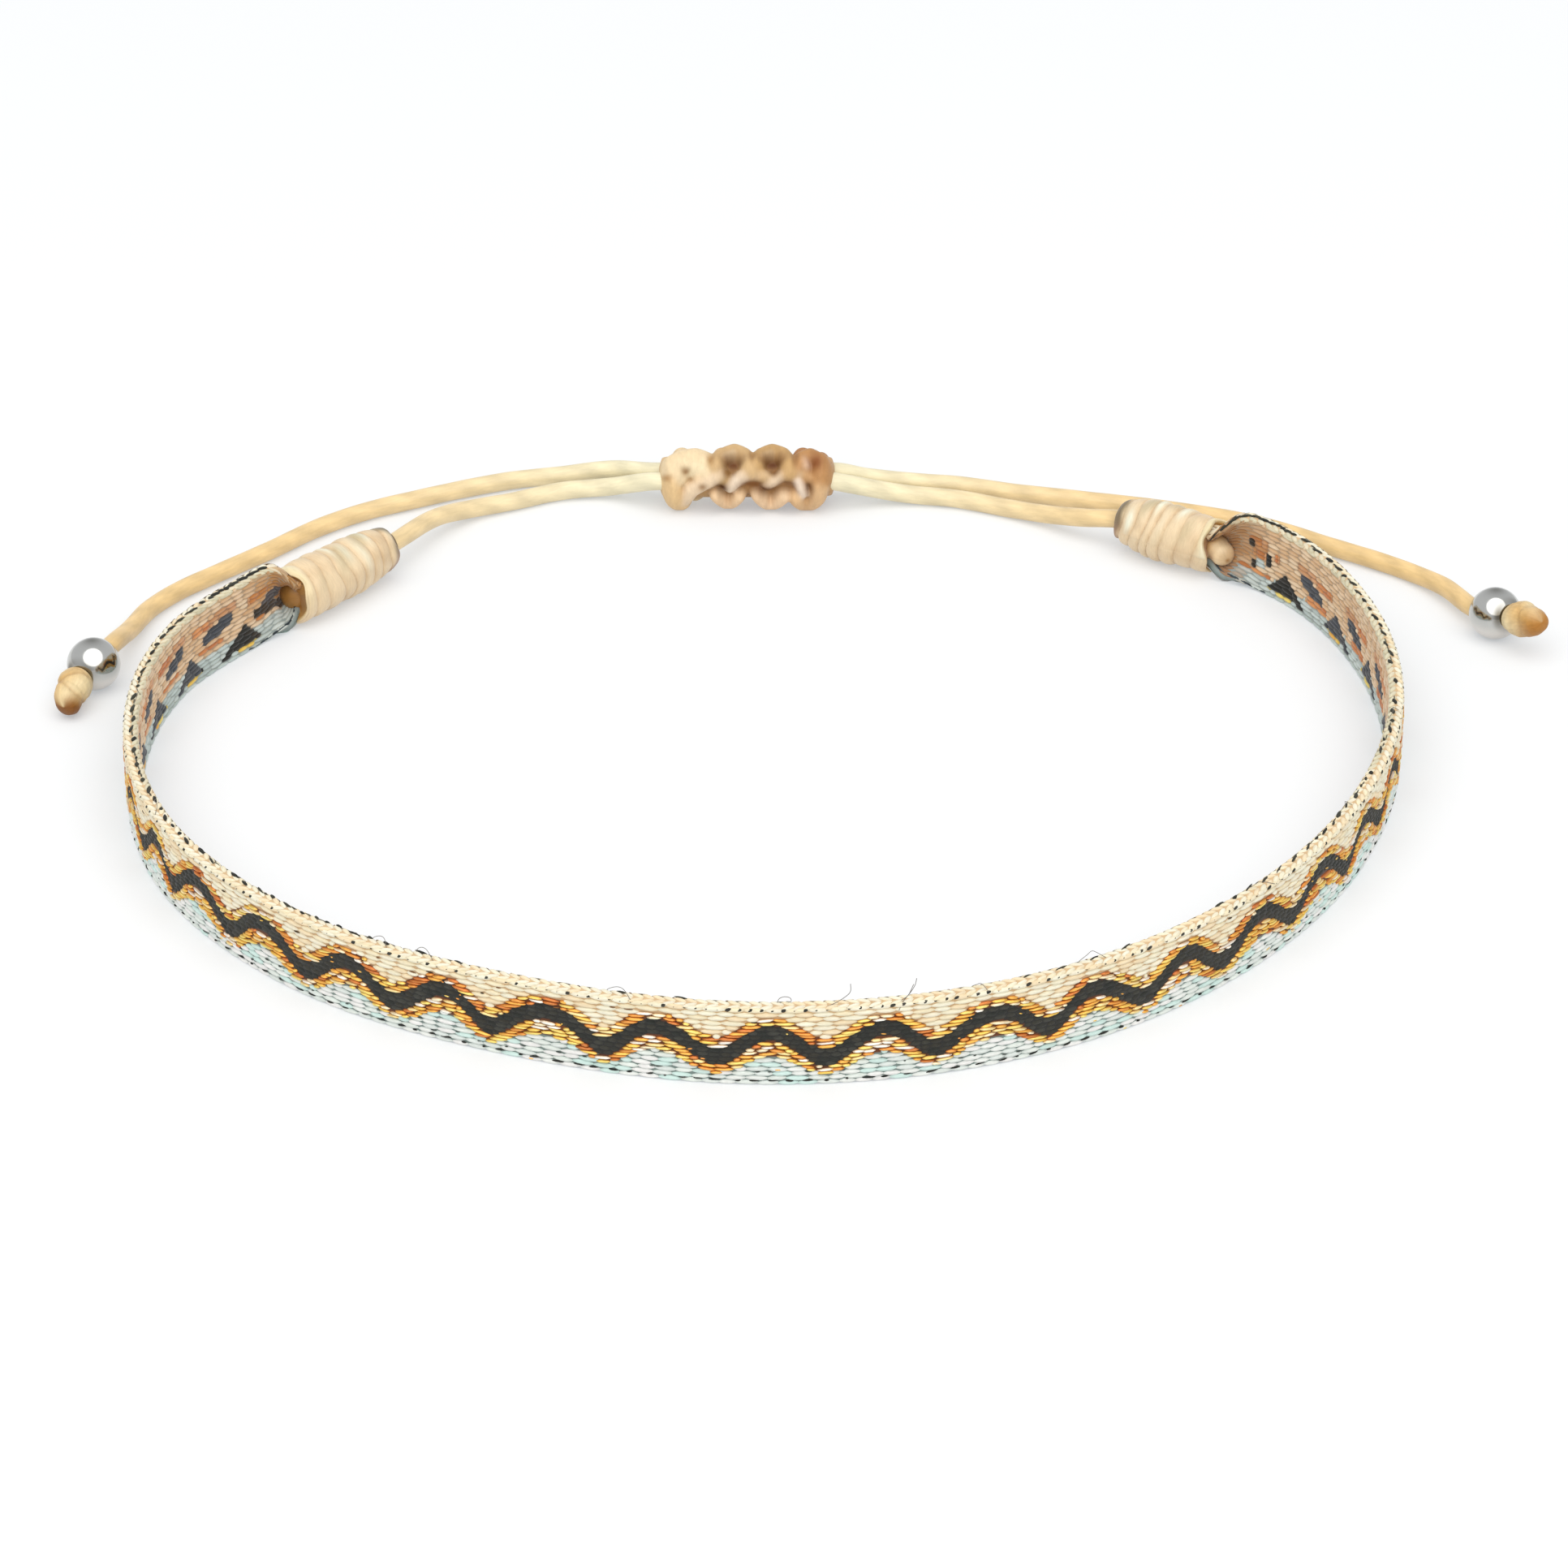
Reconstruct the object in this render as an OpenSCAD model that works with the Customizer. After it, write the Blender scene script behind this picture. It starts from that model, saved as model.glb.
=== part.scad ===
// Woven friendship bracelet closed by two waxed pull cords and a sliding knot.
// It lies on the lower edge of its ribbon, as it would on a table. The origin is
// at the bottom centre of the loop, +Z is up and the middle of the ribbon faces -Y.

/* [Ribbon] */
// Width of the woven ribbon, which is its height as it stands on edge
band_w = 4.5; // [3.5:0.1:6]
// Thickness of the ribbon
band_t = 0.8; // [0.6:0.05:1.1]
// Mean radius of the whole loop
loop_r = 32.5; // [29:0.5:36]
// Length over which the flat ribbon curls up before the left whipping
left_curl_run = 3; // [2.5:0.5:6]
// Length over which the flat ribbon curls up before the right whipping
right_curl_run = 3.5; // [2.5:0.5:6]

/* [Whippings] */
// Diameter of each thread whipping at its thickest
whip_d = 3.6; // [3.2:0.1:4.2]
// Thickness of the layer of wound thread
whip_wall = 0.45; // [0.25:0.05:0.5]
// Length of the left whipping
left_whip_len = 8; // [6:0.2:11]
// Length of the right whipping
right_whip_len = 6.2; // [5:0.2:9]
// Width of one turn of the thread
turn_w = 0.8; // [0.5:0.1:1.2]
// Depth of the groove between two turns
turn_groove = 0.12; // [0.05:0.01:0.16]

/* [Cords] */
// Diameter of the waxed cord
cord_d = 1.1; // [0.8:0.05:1.2]
// Length of melted cord that shows in the ribbon's channel before each whipping
stub_len = 2; // [1:0.5:4]

/* [Sliding knot] */
// Length of the sliding knot
knot_len = 9.8; // [8:0.2:14]
// Diameter of the sliding knot over its loops
knot_d = 3.7; // [3.5:0.1:4.5]
// Loops along the sliding knot
knot_loops = 4; // [3:1:6]
// Lean of the loops, to one side and the other in turn
knot_lean = 9; // [0:1:15]

/* [Beads] */
// Diameter of each steel bead
bead_d = 3; // [2.5:0.1:4]
// Bore of each bead
bead_bore = 1.4; // [1.3:0.05:1.6]

/* [End knots] */
// Diameter of the knot at the end of each cord
end_knot_d = 2.2; // [1.8:0.1:2.8]
// Length of that knot with its melted tip
end_knot_len = 2.8; // [2.4:0.1:4]
// Depth to which the cord is let into its end knot
end_knot_socket = 0.9; // [0.5:0.1:1.2]

/* [Fit] */
// Clearance round a cord, and between two pieces that touch
gap = 0.05; // [0.03:0.01:0.1]

/* [Hidden] */

// Plan of the ribbon: angle from +X in degrees, and the radius as a share of loop_r
LOOP_PLAN = [
    [-209.3, 0.996],
    [-203, 1.019],
    [-193, 1.066],
    [-180, 1.085],
    [-160, 1.081],
    [-140, 1.039],
    [-115, 0.976],
    [-90, 0.963],
    [-65, 0.965],
    [-40, 0.974],
    [-18, 0.998],
    [0, 1.030],
    [18, 1.058],
    [29, 1.066],
    [36, 1.054],
    [41, 1.028]
];
PLAN_LAST = len(LOOP_PLAN) - 1;
PLAN_START = LOOP_PLAN[0][0];
PLAN_END = LOOP_PLAN[PLAN_LAST][0];

// Middle of the sliding knot in the same plan: angle, and share of loop_r
KNOT_PLAN = [93.9, 0.946];

// Swell of a whipping: share of its length from the ribbon's side, share of whip_d
WHIP_SWELL = [
    [0, 0.97],
    [0.2, 1],
    [0.6, 1],
    [0.8, 0.92],
    [0.92, 0.81],
    [1, 0.66]
];

// Outline of one side of a loop of the sliding knot: share of half its length from its
// middle, share of its depth over the bore
KNOT_LOOP_SWELL = [
    [1, 0],
    [1, 0.45],
    [0.75, 0.85],
    [0.35, 1]
];

// Outline of an end knot: share of its length from the bead, share of end_knot_d
END_KNOT_SWELL = [
    [0, 0.66],
    [0.08, 0.88],
    [0.25, 1],
    [0.42, 0.98],
    [0.55, 0.84],
    [0.62, 0.87],
    [0.82, 0.78],
    [0.95, 0.56],
    [1, 0.3]
];

// Each bead: its place on the table, the heading of its bore away from the loop, its pitch
LEFT_BEAD = [[-37.8, 8.1], 244, -8];
RIGHT_BEAD = [[41.5, 14], -56, 16];

// The cord whipped to the left end: its lay from the whipping to the sliding knot,
// and then from the knot to the right bead
LEFT_CORD_LEAD = [
    [-19.6, 26.04, 1.3], [-17.5, 28.34, 0.7], [-15.2, 29.54, 0.55],
    [-12.4, 30.84, 0.55], [-9.5, 30.94, 0.8]
];
LEFT_CORD_TAIL = [
    [5.9, 31.24, 1.3], [8.4, 31.64, 0.8], [11.4, 31.54, 0.6], [14.8, 30.64, 0.55],
    [18.2, 29.84, 0.55], [21.6, 29.04, 0.55], [24.8, 28.14, 0.55], [27.6, 27.14, 0.55],
    [30, 25.94, 0.55], [32.7, 24.04, 0.55], [35.5, 22.14, 0.55], [37.4, 20.64, 0.55],
    [39.1, 18.44, 0.8]
];
// The cord whipped to the right end: from the whipping to the knot, then to the left bead
RIGHT_CORD_LEAD = [
    [18.6, 25.84, 1.4], [16.4, 27.44, 0.8], [14.3, 28.64, 0.55],
    [11.3, 29.84, 0.55], [8.1, 30.24, 0.7]
];
RIGHT_CORD_TAIL = [
    [-9.4, 32.44, 1.2], [-12.4, 32.84, 0.6], [-15.4, 32.24, 0.55], [-18.2, 31.14, 0.55],
    [-21.1, 29.74, 0.55], [-23.9, 28.24, 0.55], [-26.6, 26.14, 0.55], [-29.2, 23.34, 0.55],
    [-32, 20.54, 0.55], [-34.1, 18.34, 0.55], [-35.5, 16.14, 0.6], [-36.3, 13.24, 0.9]
];

// Turn of the two cords round each other inside the sliding knot, and its start
PAIR_START = 180;
PAIR_TWIST = 180;
PAIR_STEPS = 4;

ROUND = 36;
CORD_SIDES = 8;
// Faces across the width of the ribbon, and the step along its loop in degrees
BAND_FACES = 10;
BAND_STEP = 4.5;
WHIP_STEPS = 5;
CURL_MAX = 300;
// Least curl, at which the ribbon counts as flat
FLAT = 0.001;
// How far the melted end leans inward and rises, as shares of its length
STUB_LEAN = 0.58;
STUB_RISE = 0.5;
// Share of the cord's thickness left at its melted end
STUB_TIP = 0.6;
// Room between the two cords inside the sliding knot, as a share of the clearance
PAIR_SPARE = 1.6;
// Share of the ribbon's thickness left where the thread squeezes it, and at its edges
CURL_SQUEEZE = 0.75;
EDGE_SHARE = 0.7;

cord_r = cord_d / 2;
whip_z = whip_d / 2;
knot_z = knot_d / 2;
bead_z = bead_d / 2;
pair_r = cord_r + PAIR_SPARE * gap;
knot_bore_r = pair_r + cord_r + gap;
// Distance from a bead's centre to its end knot, which sits on the rim of the bore
knot_seat = sqrt(pow(bead_d / 2, 2) - pow(end_knot_d / 3, 2)) + gap;

// Plain helpers
function mix(a, b, t) = a + (b - a) * t;
function heading(a) = [cos(a), sin(a)];
function unit(v) = v / norm(v);
function table_row(table, x) =
    max(0, min(len(table) - 2, len([for (row = table) if (row[0] <= x) 1]) - 1));
function table_value(table, x) =
    let (i = table_row(table, x), a = table[i], b = table[i + 1])
    mix(a[1], b[1], (x - a[0]) / (b[0] - a[0]));

// The loop's plan, a smooth curve through LOOP_PLAN
function plan_rate(i) =
    let (a = LOOP_PLAN[max(i - 1, 0)], b = LOOP_PLAN[min(i + 1, PLAN_LAST)])
    (b[1] - a[1]) / (b[0] - a[0]);
function plan_share(angle) =
    let (
        i = table_row(LOOP_PLAN, angle),
        a = LOOP_PLAN[i],
        b = LOOP_PLAN[i + 1],
        span = b[0] - a[0],
        t = (angle - a[0]) / span
    )
    a[1] * (1 + 2 * t) * pow(1 - t, 2) + b[1] * t * t * (3 - 2 * t)
    + span * t * (1 - t) * (plan_rate(i) * (1 - t) - plan_rate(i + 1) * t);
function raw_point(angle) = loop_r * plan_share(angle) * heading(angle);
function plan_heading(angle) =
    let (
        before = raw_point(max(angle - 0.5, PLAN_START)),
        after = raw_point(min(angle + 0.5, PLAN_END)),
        step = after - before
    )
    atan2(step[1], step[0]);

// The plan is moved so that the loop and its sliding knot are centred on the origin
raw_loop = [for (angle = [PLAN_START : 1 : PLAN_END]) raw_point(angle)];
raw_knot = loop_r * KNOT_PLAN[1] * heading(KNOT_PLAN[0]);
plan_mid = [
    (min([for (p = raw_loop) p[0]]) + max([for (p = raw_loop) p[0]])) / 2,
    (min([for (p = raw_loop) p[1]]) - band_t / 2 + raw_knot[1] + knot_z) / 2
];
function plan_point(angle) = raw_point(angle) - plan_mid;
knot_mid = raw_knot - plan_mid;

// Axis of each whipping: its end at the ribbon, its heading away from the ribbon, its
// length, and the turn from that heading to the inside of the loop
left_axis = [plan_point(PLAN_START), plan_heading(PLAN_START) + 180, left_whip_len, -90];
right_axis = [plan_point(PLAN_END), plan_heading(PLAN_END), right_whip_len, 90];
function on_axis(axis, along) = axis[0] + heading(axis[1]) * along;

// Radii inside a whipping, at a share of its length from the ribbon
function whip_r(share) = whip_d / 2 * table_value(WHIP_SWELL, share);
function curl_outer(share) = whip_r(share) - whip_wall - gap;
function curl_inner(share) =
    max(cord_r + gap, curl_outer(share) - band_t * CURL_SQUEEZE);

// A station of the ribbon: place, heading, curl from 0 to 1, share along a whipping
function whip_stations(axis, turn, shares) =
    [for (share = shares) [on_axis(axis, axis[2] * share), axis[1] + turn, 1, share]];
function curl_at(angle) =
    let (
        along = loop_r * PI / 180,
        left = 1 - (angle - PLAN_START) * along / left_curl_run,
        right = 1 - (PLAN_END - angle) * along / right_curl_run
    )
    pow(max(left, right, 0), 2);
loop_steps = ceil((PLAN_END - PLAN_START) / BAND_STEP);
loop_angles = concat(
    [for (i = [1 : 3]) PLAN_START + i * BAND_STEP / 4],
    [for (i = [1 : loop_steps - 1]) mix(PLAN_START, PLAN_END, i / loop_steps)],
    [for (i = [3 : -1 : 1]) PLAN_END - i * BAND_STEP / 4]
);
stations = concat(
    whip_stations(left_axis, 180, [for (i = [WHIP_STEPS : -1 : 0]) i / WHIP_STEPS]),
    [for (a = loop_angles) [plan_point(a), plan_heading(a), curl_at(a), 0]],
    whip_stations(right_axis, 0, [for (i = [0 : WHIP_STEPS]) i / WHIP_STEPS])
);

// Cross-section of the ribbon there, as distances outward from the plan and up
function band_section(curl, share) =
    let (
        outer = curl_outer(share),
        inner = curl_inner(share),
        curl_r = (outer + inner) / 2,
        thick = mix(band_t, outer - inner, curl),
        bend_r = curl_r / max(curl, FLAT),
        half = min(band_w / 2 / bend_r * 180 / PI, CURL_MAX / 2),
        depth = (bend_r + thick / 2) * sin(min(half, 90)),
        middle = max(mix(band_w / 2, whip_z, curl), depth),
        out = curl * curl_r
    )
    [
        for (side = [1, -1])
        for (i = [0 : BAND_FACES])
        let (
            k = side > 0 ? i : BAND_FACES - i,
            across = 2 * k / BAND_FACES - 1,
            a = half * across,
            edge = abs(across) == 1 ? EDGE_SHARE : 1,
            r = bend_r + side * thick / 2 * edge
        )
        [out - bend_r + r * cos(a), middle + r * sin(a)]
    ];
function band_ring(station) =
    let (out = heading(station[1] - 90))
    [
        for (p = band_section(station[2], station[3]))
        [station[0][0] + out[0] * p[0], station[0][1] + out[1] * p[0], p[1]]
    ];

// Faces of a tube of rings with n points each, and its end caps as strips or fans
function tube_faces(rings, n) = [
    for (i = [0 : rings - 2])
    for (j = [0 : n - 1])
    let (a = i * n + j, b = i * n + (j + 1) % n)
    each [[a, b + n, a + n], [a, b, b + n]]
];
function strip_cap(first, n, flip) = [
    for (j = [0 : n / 2 - 2])
    let (a = first + j, b = first + j + 1, c = first + n - 2 - j, d = first + n - 1 - j)
    flip ? [a, b, c, d] : [d, c, b, a]
];

module band() {
    rings = [for (s = stations) band_ring(s)];
    n = len(rings[0]);
    color("wheat")
        polyhedron(
            points = [for (ring = rings) each ring],
            faces = concat(
                tube_faces(len(rings), n),
                strip_cap(0, n, false),
                strip_cap((len(rings) - 1) * n, n, true)
            )
        );
}

// A whipping along +X from the ribbon: turns of thread over a hollow for the ribbon
module whipping(axis) {
    length = axis[2];
    turns = round(length / turn_w);
    crests = [
        for (i = [0 : turns - 1])
        for (part = [0, 0.25, 0.75])
        let (share = (i + part) / turns)
        [whip_r(share) - (part == 0 ? turn_groove : 0), share * length]
    ];
    bore = [for (row = WHIP_SWELL) [whip_r(row[0]) - whip_wall, row[0] * length]];
    end = [whip_r(1) - turn_groove / 2, length];
    back = [for (i = [len(bore) - 1 : -1 : 0]) bore[i]];
    translate([axis[0][0], axis[0][1], whip_z])
        rotate([0, 90, axis[1]])
            rotate_extrude($fn = ROUND)
                polygon(concat(crests, [end], back));
}
module whip_left() {
    color("burlywood") whipping(left_axis);
}
module whip_right() {
    color("burlywood") whipping(right_axis);
}

// One loop of the sliding knot, a rounded ring about the X axis
module knot_loop(pitch) {
    half = pitch / 2 - gap / 2;
    side = [
        for (row = KNOT_LOOP_SWELL) [mix(knot_bore_r + gap, knot_z, row[1]), half * row[0]]
    ];
    other = [for (i = [len(side) - 1 : -1 : 0]) [side[i][0], -side[i][1]]];
    rotate([0, 90, 0])
        rotate_extrude($fn = ROUND)
            polygon(concat(side, other));
}
module slide_knot() {
    pitch = knot_len / knot_loops;
    color("tan")
        translate([knot_mid[0], knot_mid[1], knot_z])
            difference() {
                union() {
                    rotate([0, 90, 0])
                        cylinder(h = knot_len - pitch / 2, r = mix(knot_bore_r, knot_z, 0.5),
                            center = true, $fn = ROUND);
                    for (i = [0 : knot_loops - 1])
                        translate([(i - (knot_loops - 1) / 2) * pitch, 0, 0])
                            rotate([0, 0, i % 2 == 0 ? knot_lean : -knot_lean])
                                knot_loop(pitch);
                }
                rotate([0, 90, 0])
                    cylinder(h = 2 * knot_len, r = knot_bore_r, center = true, $fn = ROUND);
            }
}

// A cord's places through the sliding knot, from its left end, side 0 or 180
function pair_points(side) = [
    for (i = [0 : PAIR_STEPS])
    let (turn = PAIR_START + side + PAIR_TWIST * i / PAIR_STEPS)
    [
        knot_mid[0] + (knot_len + cord_d / 2) * (i / PAIR_STEPS - 0.5),
        knot_mid[1] + pair_r * cos(turn),
        knot_z + pair_r * sin(turn)
    ]
];
function reversed(list) = [for (i = [len(list) - 1 : -1 : 0]) list[i]];
function whip_points(axis) = [
    for (along = [-stub_len, -0.75 * stub_len, 0, axis[2] / 2, axis[2]])
    let (
        bare = max(0, -along),
        place = on_axis(axis, along) + heading(axis[1] + axis[3]) * bare * STUB_LEAN
    )
    [place[0], place[1], whip_z + bare * STUB_RISE]
];

// Direction of a bead's bore away from the loop, and places along it from its centre
function bore_way(bead) = [
    cos(bead[2]) * cos(bead[1]), cos(bead[2]) * sin(bead[1]), sin(bead[2])
];
function bore_point(bead, along) =
    [bead[0][0], bead[0][1], bead_z] + bore_way(bead) * along;
function bead_points(bead) = [
    for (along = [-bead_d * 0.6, 0, knot_seat + end_knot_socket]) bore_point(bead, along)
];
function cord_route(axis, lead, knot, tail, bead) =
    concat(whip_points(axis), lead, knot, tail, bead_points(bead));

// A cord swept along its route, with its melted first end drawn in
function route_way(route, i) =
    unit(route[min(i + 1, len(route) - 1)] - route[max(i - 1, 0)]);
function cord_ring(route, i) =
    let (
        way = route_way(route, i),
        side = unit(cross(way, [0, 0, 1])),
        up = cross(side, way),
        r = i == 0 ? cord_r * STUB_TIP : cord_r
    )
    [
        for (k = [0 : CORD_SIDES - 1])
        let (a = 360 * (k + 0.5) / CORD_SIDES)
        route[i] + r * (cos(a) * side + sin(a) * up)
    ];
module cord(route) {
    last = len(route) - 1;
    color("navajowhite")
        polyhedron(
            points = [for (i = [0 : last]) each cord_ring(route, i)],
            faces = concat(
                [[for (k = [CORD_SIDES - 1 : -1 : 0]) k]],
                tube_faces(last + 1, CORD_SIDES),
                [[for (k = [0 : CORD_SIDES - 1]) last * CORD_SIDES + k]]
            )
        );
}
module cord_left() {
    cord(cord_route(left_axis, LEFT_CORD_LEAD, pair_points(0), LEFT_CORD_TAIL, RIGHT_BEAD));
}
module cord_right() {
    cord(cord_route(right_axis, RIGHT_CORD_LEAD, reversed(pair_points(180)),
        RIGHT_CORD_TAIL, LEFT_BEAD));
}

// Turns +Z along a bead's bore, with the bead's centre as the origin
module at_bead(bead) {
    translate([bead[0][0], bead[0][1], bead_z])
        rotate([0, 90 - bead[2], bead[1]])
            children();
}
module bead(place) {
    color("silver")
        at_bead(place)
            difference() {
                sphere(d = bead_d, $fn = ROUND);
                cylinder(h = 2 * bead_d, d = bead_bore, center = true, $fn = ROUND);
            }
}
module bead_left() {
    bead(LEFT_BEAD);
}
module bead_right() {
    bead(RIGHT_BEAD);
}

module end_knot(place) {
    outline = [
        for (row = END_KNOT_SWELL) [end_knot_d / 2 * row[1], end_knot_len * row[0]]
    ];
    color("peru")
        at_bead(place)
            translate([0, 0, knot_seat])
                difference() {
                    rotate_extrude($fn = ROUND)
                        polygon(concat([[0, 0]], outline, [[0, end_knot_len]]));
                    translate([0, 0, -gap])
                        cylinder(h = end_knot_socket + 2 * gap, r = cord_r + gap, $fn = ROUND);
                }
}
module end_knot_left() {
    end_knot(LEFT_BEAD);
}
module end_knot_right() {
    end_knot(RIGHT_BEAD);
}

band();
whip_left();
whip_right();
slide_knot();
cord_left();
cord_right();
bead_left();
bead_right();
end_knot_left();
end_knot_right();
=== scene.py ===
"""The looks of the friendship bracelet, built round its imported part, in one frame.

Lengths here are in millimetres until a mesh is made, which is in metres.
s runs along the ribbon's mid-line from the middle of its front, counter-clockwise,
h runs up across its width, and d runs outward from the middle of its thickness.
"""
import math

import bpy
import numpy as np
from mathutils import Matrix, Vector


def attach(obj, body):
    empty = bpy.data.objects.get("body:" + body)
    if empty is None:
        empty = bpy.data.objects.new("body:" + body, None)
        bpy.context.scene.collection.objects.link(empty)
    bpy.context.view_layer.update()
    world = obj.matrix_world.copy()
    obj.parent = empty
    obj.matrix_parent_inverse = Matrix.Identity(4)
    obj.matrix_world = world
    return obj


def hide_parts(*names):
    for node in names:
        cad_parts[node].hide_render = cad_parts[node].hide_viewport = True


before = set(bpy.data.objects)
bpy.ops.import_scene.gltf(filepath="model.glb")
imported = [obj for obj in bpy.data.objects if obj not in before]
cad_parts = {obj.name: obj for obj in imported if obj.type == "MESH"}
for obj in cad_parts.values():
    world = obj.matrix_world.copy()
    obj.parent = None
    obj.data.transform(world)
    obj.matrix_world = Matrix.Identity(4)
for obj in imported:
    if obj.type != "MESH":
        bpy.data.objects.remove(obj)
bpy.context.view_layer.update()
rng = np.random.default_rng(7)
scene = bpy.context.scene
MM, TAU = 0.001, 2 * math.pi
# Tints are what the picture should show; this share of them is reflected in its bright light
LIT = 0.74


def linear(rgb):
    """Scene-linear colour of a screen colour from 0 to 255."""
    c = np.asarray(rgb, float) / 255
    return np.where(c <= 0.04045, c / 12.92, ((c + 0.055) / 1.055) ** 2.4)


def mix(a, b, t):
    return a + (b - a) * t


def unit(t):
    return np.clip(t, 0, 1)


def smooth(t):
    return unit(t) ** 2 * (3 - 2 * unit(t))


# Camera: 30.4 degrees above the table and DISTANCE from AIM, near the middle of the loop.
# AIM shows at MIDDLE in a picture of SIDE pixels, with PX_PER_MM pixels to the millimetre
SIDE, MIDDLE, PX_PER_MM, DISTANCE, SENSOR = 1932, (963.7, 941.1), 22.44, 300, 36
EYE, AIM = Vector((0.000826, -0.259113, 0.1519)), Vector((0.000826, -0.000412, 0))
camera = bpy.data.objects.new("camera", bpy.data.cameras.new("camera"))
scene.collection.objects.link(camera)
camera.location = EYE
camera.rotation_euler = (AIM - EYE).to_track_quat("-Z", "Y").to_euler()
camera.data.sensor_width = SENSOR
camera.data.lens = SENSOR * PX_PER_MM * DISTANCE / SIDE
camera.data.shift_x = (SIDE / 2 - MIDDLE[0]) / SIDE
camera.data.shift_y = (MIDDLE[1] - SIDE / 2) / SIDE
camera.data.clip_start = 0.01
camera.data.clip_end = 20
scene.camera = camera
scene.view_settings.view_transform = "Standard"

# Sizes and plan of the part's source
BAND_W, BAND_T, LOOP_R = 4.5, 0.8, 32.5
CURL_RUN = (3.0, 3.5)
WHIP_D, WHIP_WALL, WHIP_LEN = 3.6, 0.45, (8.0, 6.2)
CORD_D, GAP, STUB_LEN, STUB_LEAN, STUB_RISE = 1.1, 0.05, 2.0, 0.58, 0.5
KNOT_LEN, KNOT_D = 9.8, 3.7
BEAD_D, BEAD_BORE, END_D, END_LEN, SOCKET = 3.0, 1.4, 2.2, 2.8, 0.9
CURL_MAX, FLAT, SQUEEZE = 300, 0.001, 0.75
LOOP_PLAN = np.array([
    (-209.3, 0.996), (-203, 1.019), (-193, 1.066), (-180, 1.085), (-160, 1.081),
    (-140, 1.039), (-115, 0.976), (-90, 0.963), (-65, 0.965), (-40, 0.974),
    (-18, 0.998), (0, 1.030), (18, 1.058), (29, 1.066), (36, 1.054), (41, 1.028),
])
KNOT_PLAN = (93.9, 0.946)
WHIP_SWELL = np.array([(0, 0.97), (0.2, 1), (0.6, 1), (0.8, 0.92), (0.92, 0.81), (1, 0.66)])
LEFT_BEAD = ((-37.8, 8.1), 244, -8)
RIGHT_BEAD = ((41.5, 14.0), -56, 16)
LEFT_CORD_LEAD = [
    (-19.6, 26.04, 1.3), (-17.5, 28.34, 0.7), (-15.2, 29.54, 0.55), (-12.4, 30.84, 0.55),
    (-9.5, 30.94, 0.8),
]
LEFT_CORD_TAIL = [
    (5.9, 31.24, 1.3), (8.4, 31.64, 0.8), (11.4, 31.54, 0.6), (14.8, 30.64, 0.55),
    (18.2, 29.84, 0.55), (21.6, 29.04, 0.55), (24.8, 28.14, 0.55), (27.6, 27.14, 0.55),
    (30, 25.94, 0.55), (32.7, 24.04, 0.55), (35.5, 22.14, 0.55), (37.4, 20.64, 0.55),
    (39.1, 18.44, 0.8),
]
RIGHT_CORD_LEAD = [
    (18.6, 25.84, 1.4), (16.4, 27.44, 0.8), (14.3, 28.64, 0.55), (11.3, 29.84, 0.55),
    (8.1, 30.24, 0.7),
]
RIGHT_CORD_TAIL = [
    (-9.4, 32.44, 1.2), (-12.4, 32.84, 0.6), (-15.4, 32.24, 0.55), (-18.2, 31.14, 0.55),
    (-21.1, 29.74, 0.55), (-23.9, 28.24, 0.55), (-26.6, 26.14, 0.55), (-29.2, 23.34, 0.55),
    (-32, 20.54, 0.55), (-34.1, 18.34, 0.55), (-35.5, 16.14, 0.6), (-36.3, 13.24, 0.9),
]
CORD_R = CORD_D / 2
WHIP_Z, KNOT_Z, BEAD_Z = WHIP_D / 2, KNOT_D / 2, BEAD_D / 2
PAIR_R = CORD_R + 1.6 * GAP
KNOT_SEAT = math.sqrt((BEAD_D / 2) ** 2 - (END_D / 3) ** 2) + GAP
START, END = LOOP_PLAN[0, 0], LOOP_PLAN[-1, 0]


# Plan of the loop, as in the part's source
def plan_share(angle):
    a, v = LOOP_PLAN.T
    k = np.arange(len(a))
    lo, hi = np.maximum(k - 1, 0), np.minimum(k + 1, len(a) - 1)
    rate = (v[hi] - v[lo]) / (a[hi] - a[lo])
    i = np.clip(np.searchsorted(a, angle, side="right") - 1, 0, len(a) - 2)
    span = a[i + 1] - a[i]
    t = (angle - a[i]) / span
    ends = v[i] * (1 + 2 * t) * (1 - t) ** 2 + v[i + 1] * t * t * (3 - 2 * t)
    return ends + span * t * (1 - t) * (rate[i] * (1 - t) - rate[i + 1] * t)


def raw_point(angle):
    a = np.radians(angle)
    return LOOP_R * plan_share(angle)[..., None] * np.stack([np.cos(a), np.sin(a)], -1)


def plan_heading(angle):
    step = raw_point(np.minimum(angle + 0.5, END)) - raw_point(np.maximum(angle - 0.5, START))
    return np.unwrap(np.arctan2(step[..., 1], step[..., 0]))


def heading(a):
    return np.array([math.cos(a), math.sin(a)])


raw_loop = raw_point(np.arange(START, END + 0.01, 1.0))
raw_knot = LOOP_R * KNOT_PLAN[1] * heading(math.radians(KNOT_PLAN[0]))
plan_mid = np.array([
    (raw_loop[:, 0].min() + raw_loop[:, 0].max()) / 2,
    (raw_loop[:, 1].min() - BAND_T / 2 + raw_knot[1] + KNOT_Z) / 2,
])
knot_mid = raw_knot - plan_mid

# Stations along the ribbon: place, heading, curl, and share along a whipping
angles = np.linspace(START, END, 1201)
places = raw_point(angles) - plan_mid
headings = plan_heading(angles)
run = LOOP_R * math.pi / 180
curls = np.maximum(0, np.maximum(
    1 - (angles - START) * run / CURL_RUN[0], 1 - (END - angles) * run / CURL_RUN[1])) ** 2
axes = (
    (places[0], headings[0] + math.pi, WHIP_LEN[0], -math.pi / 2),
    (places[-1], headings[-1], WHIP_LEN[1], math.pi / 2),
)


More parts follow.
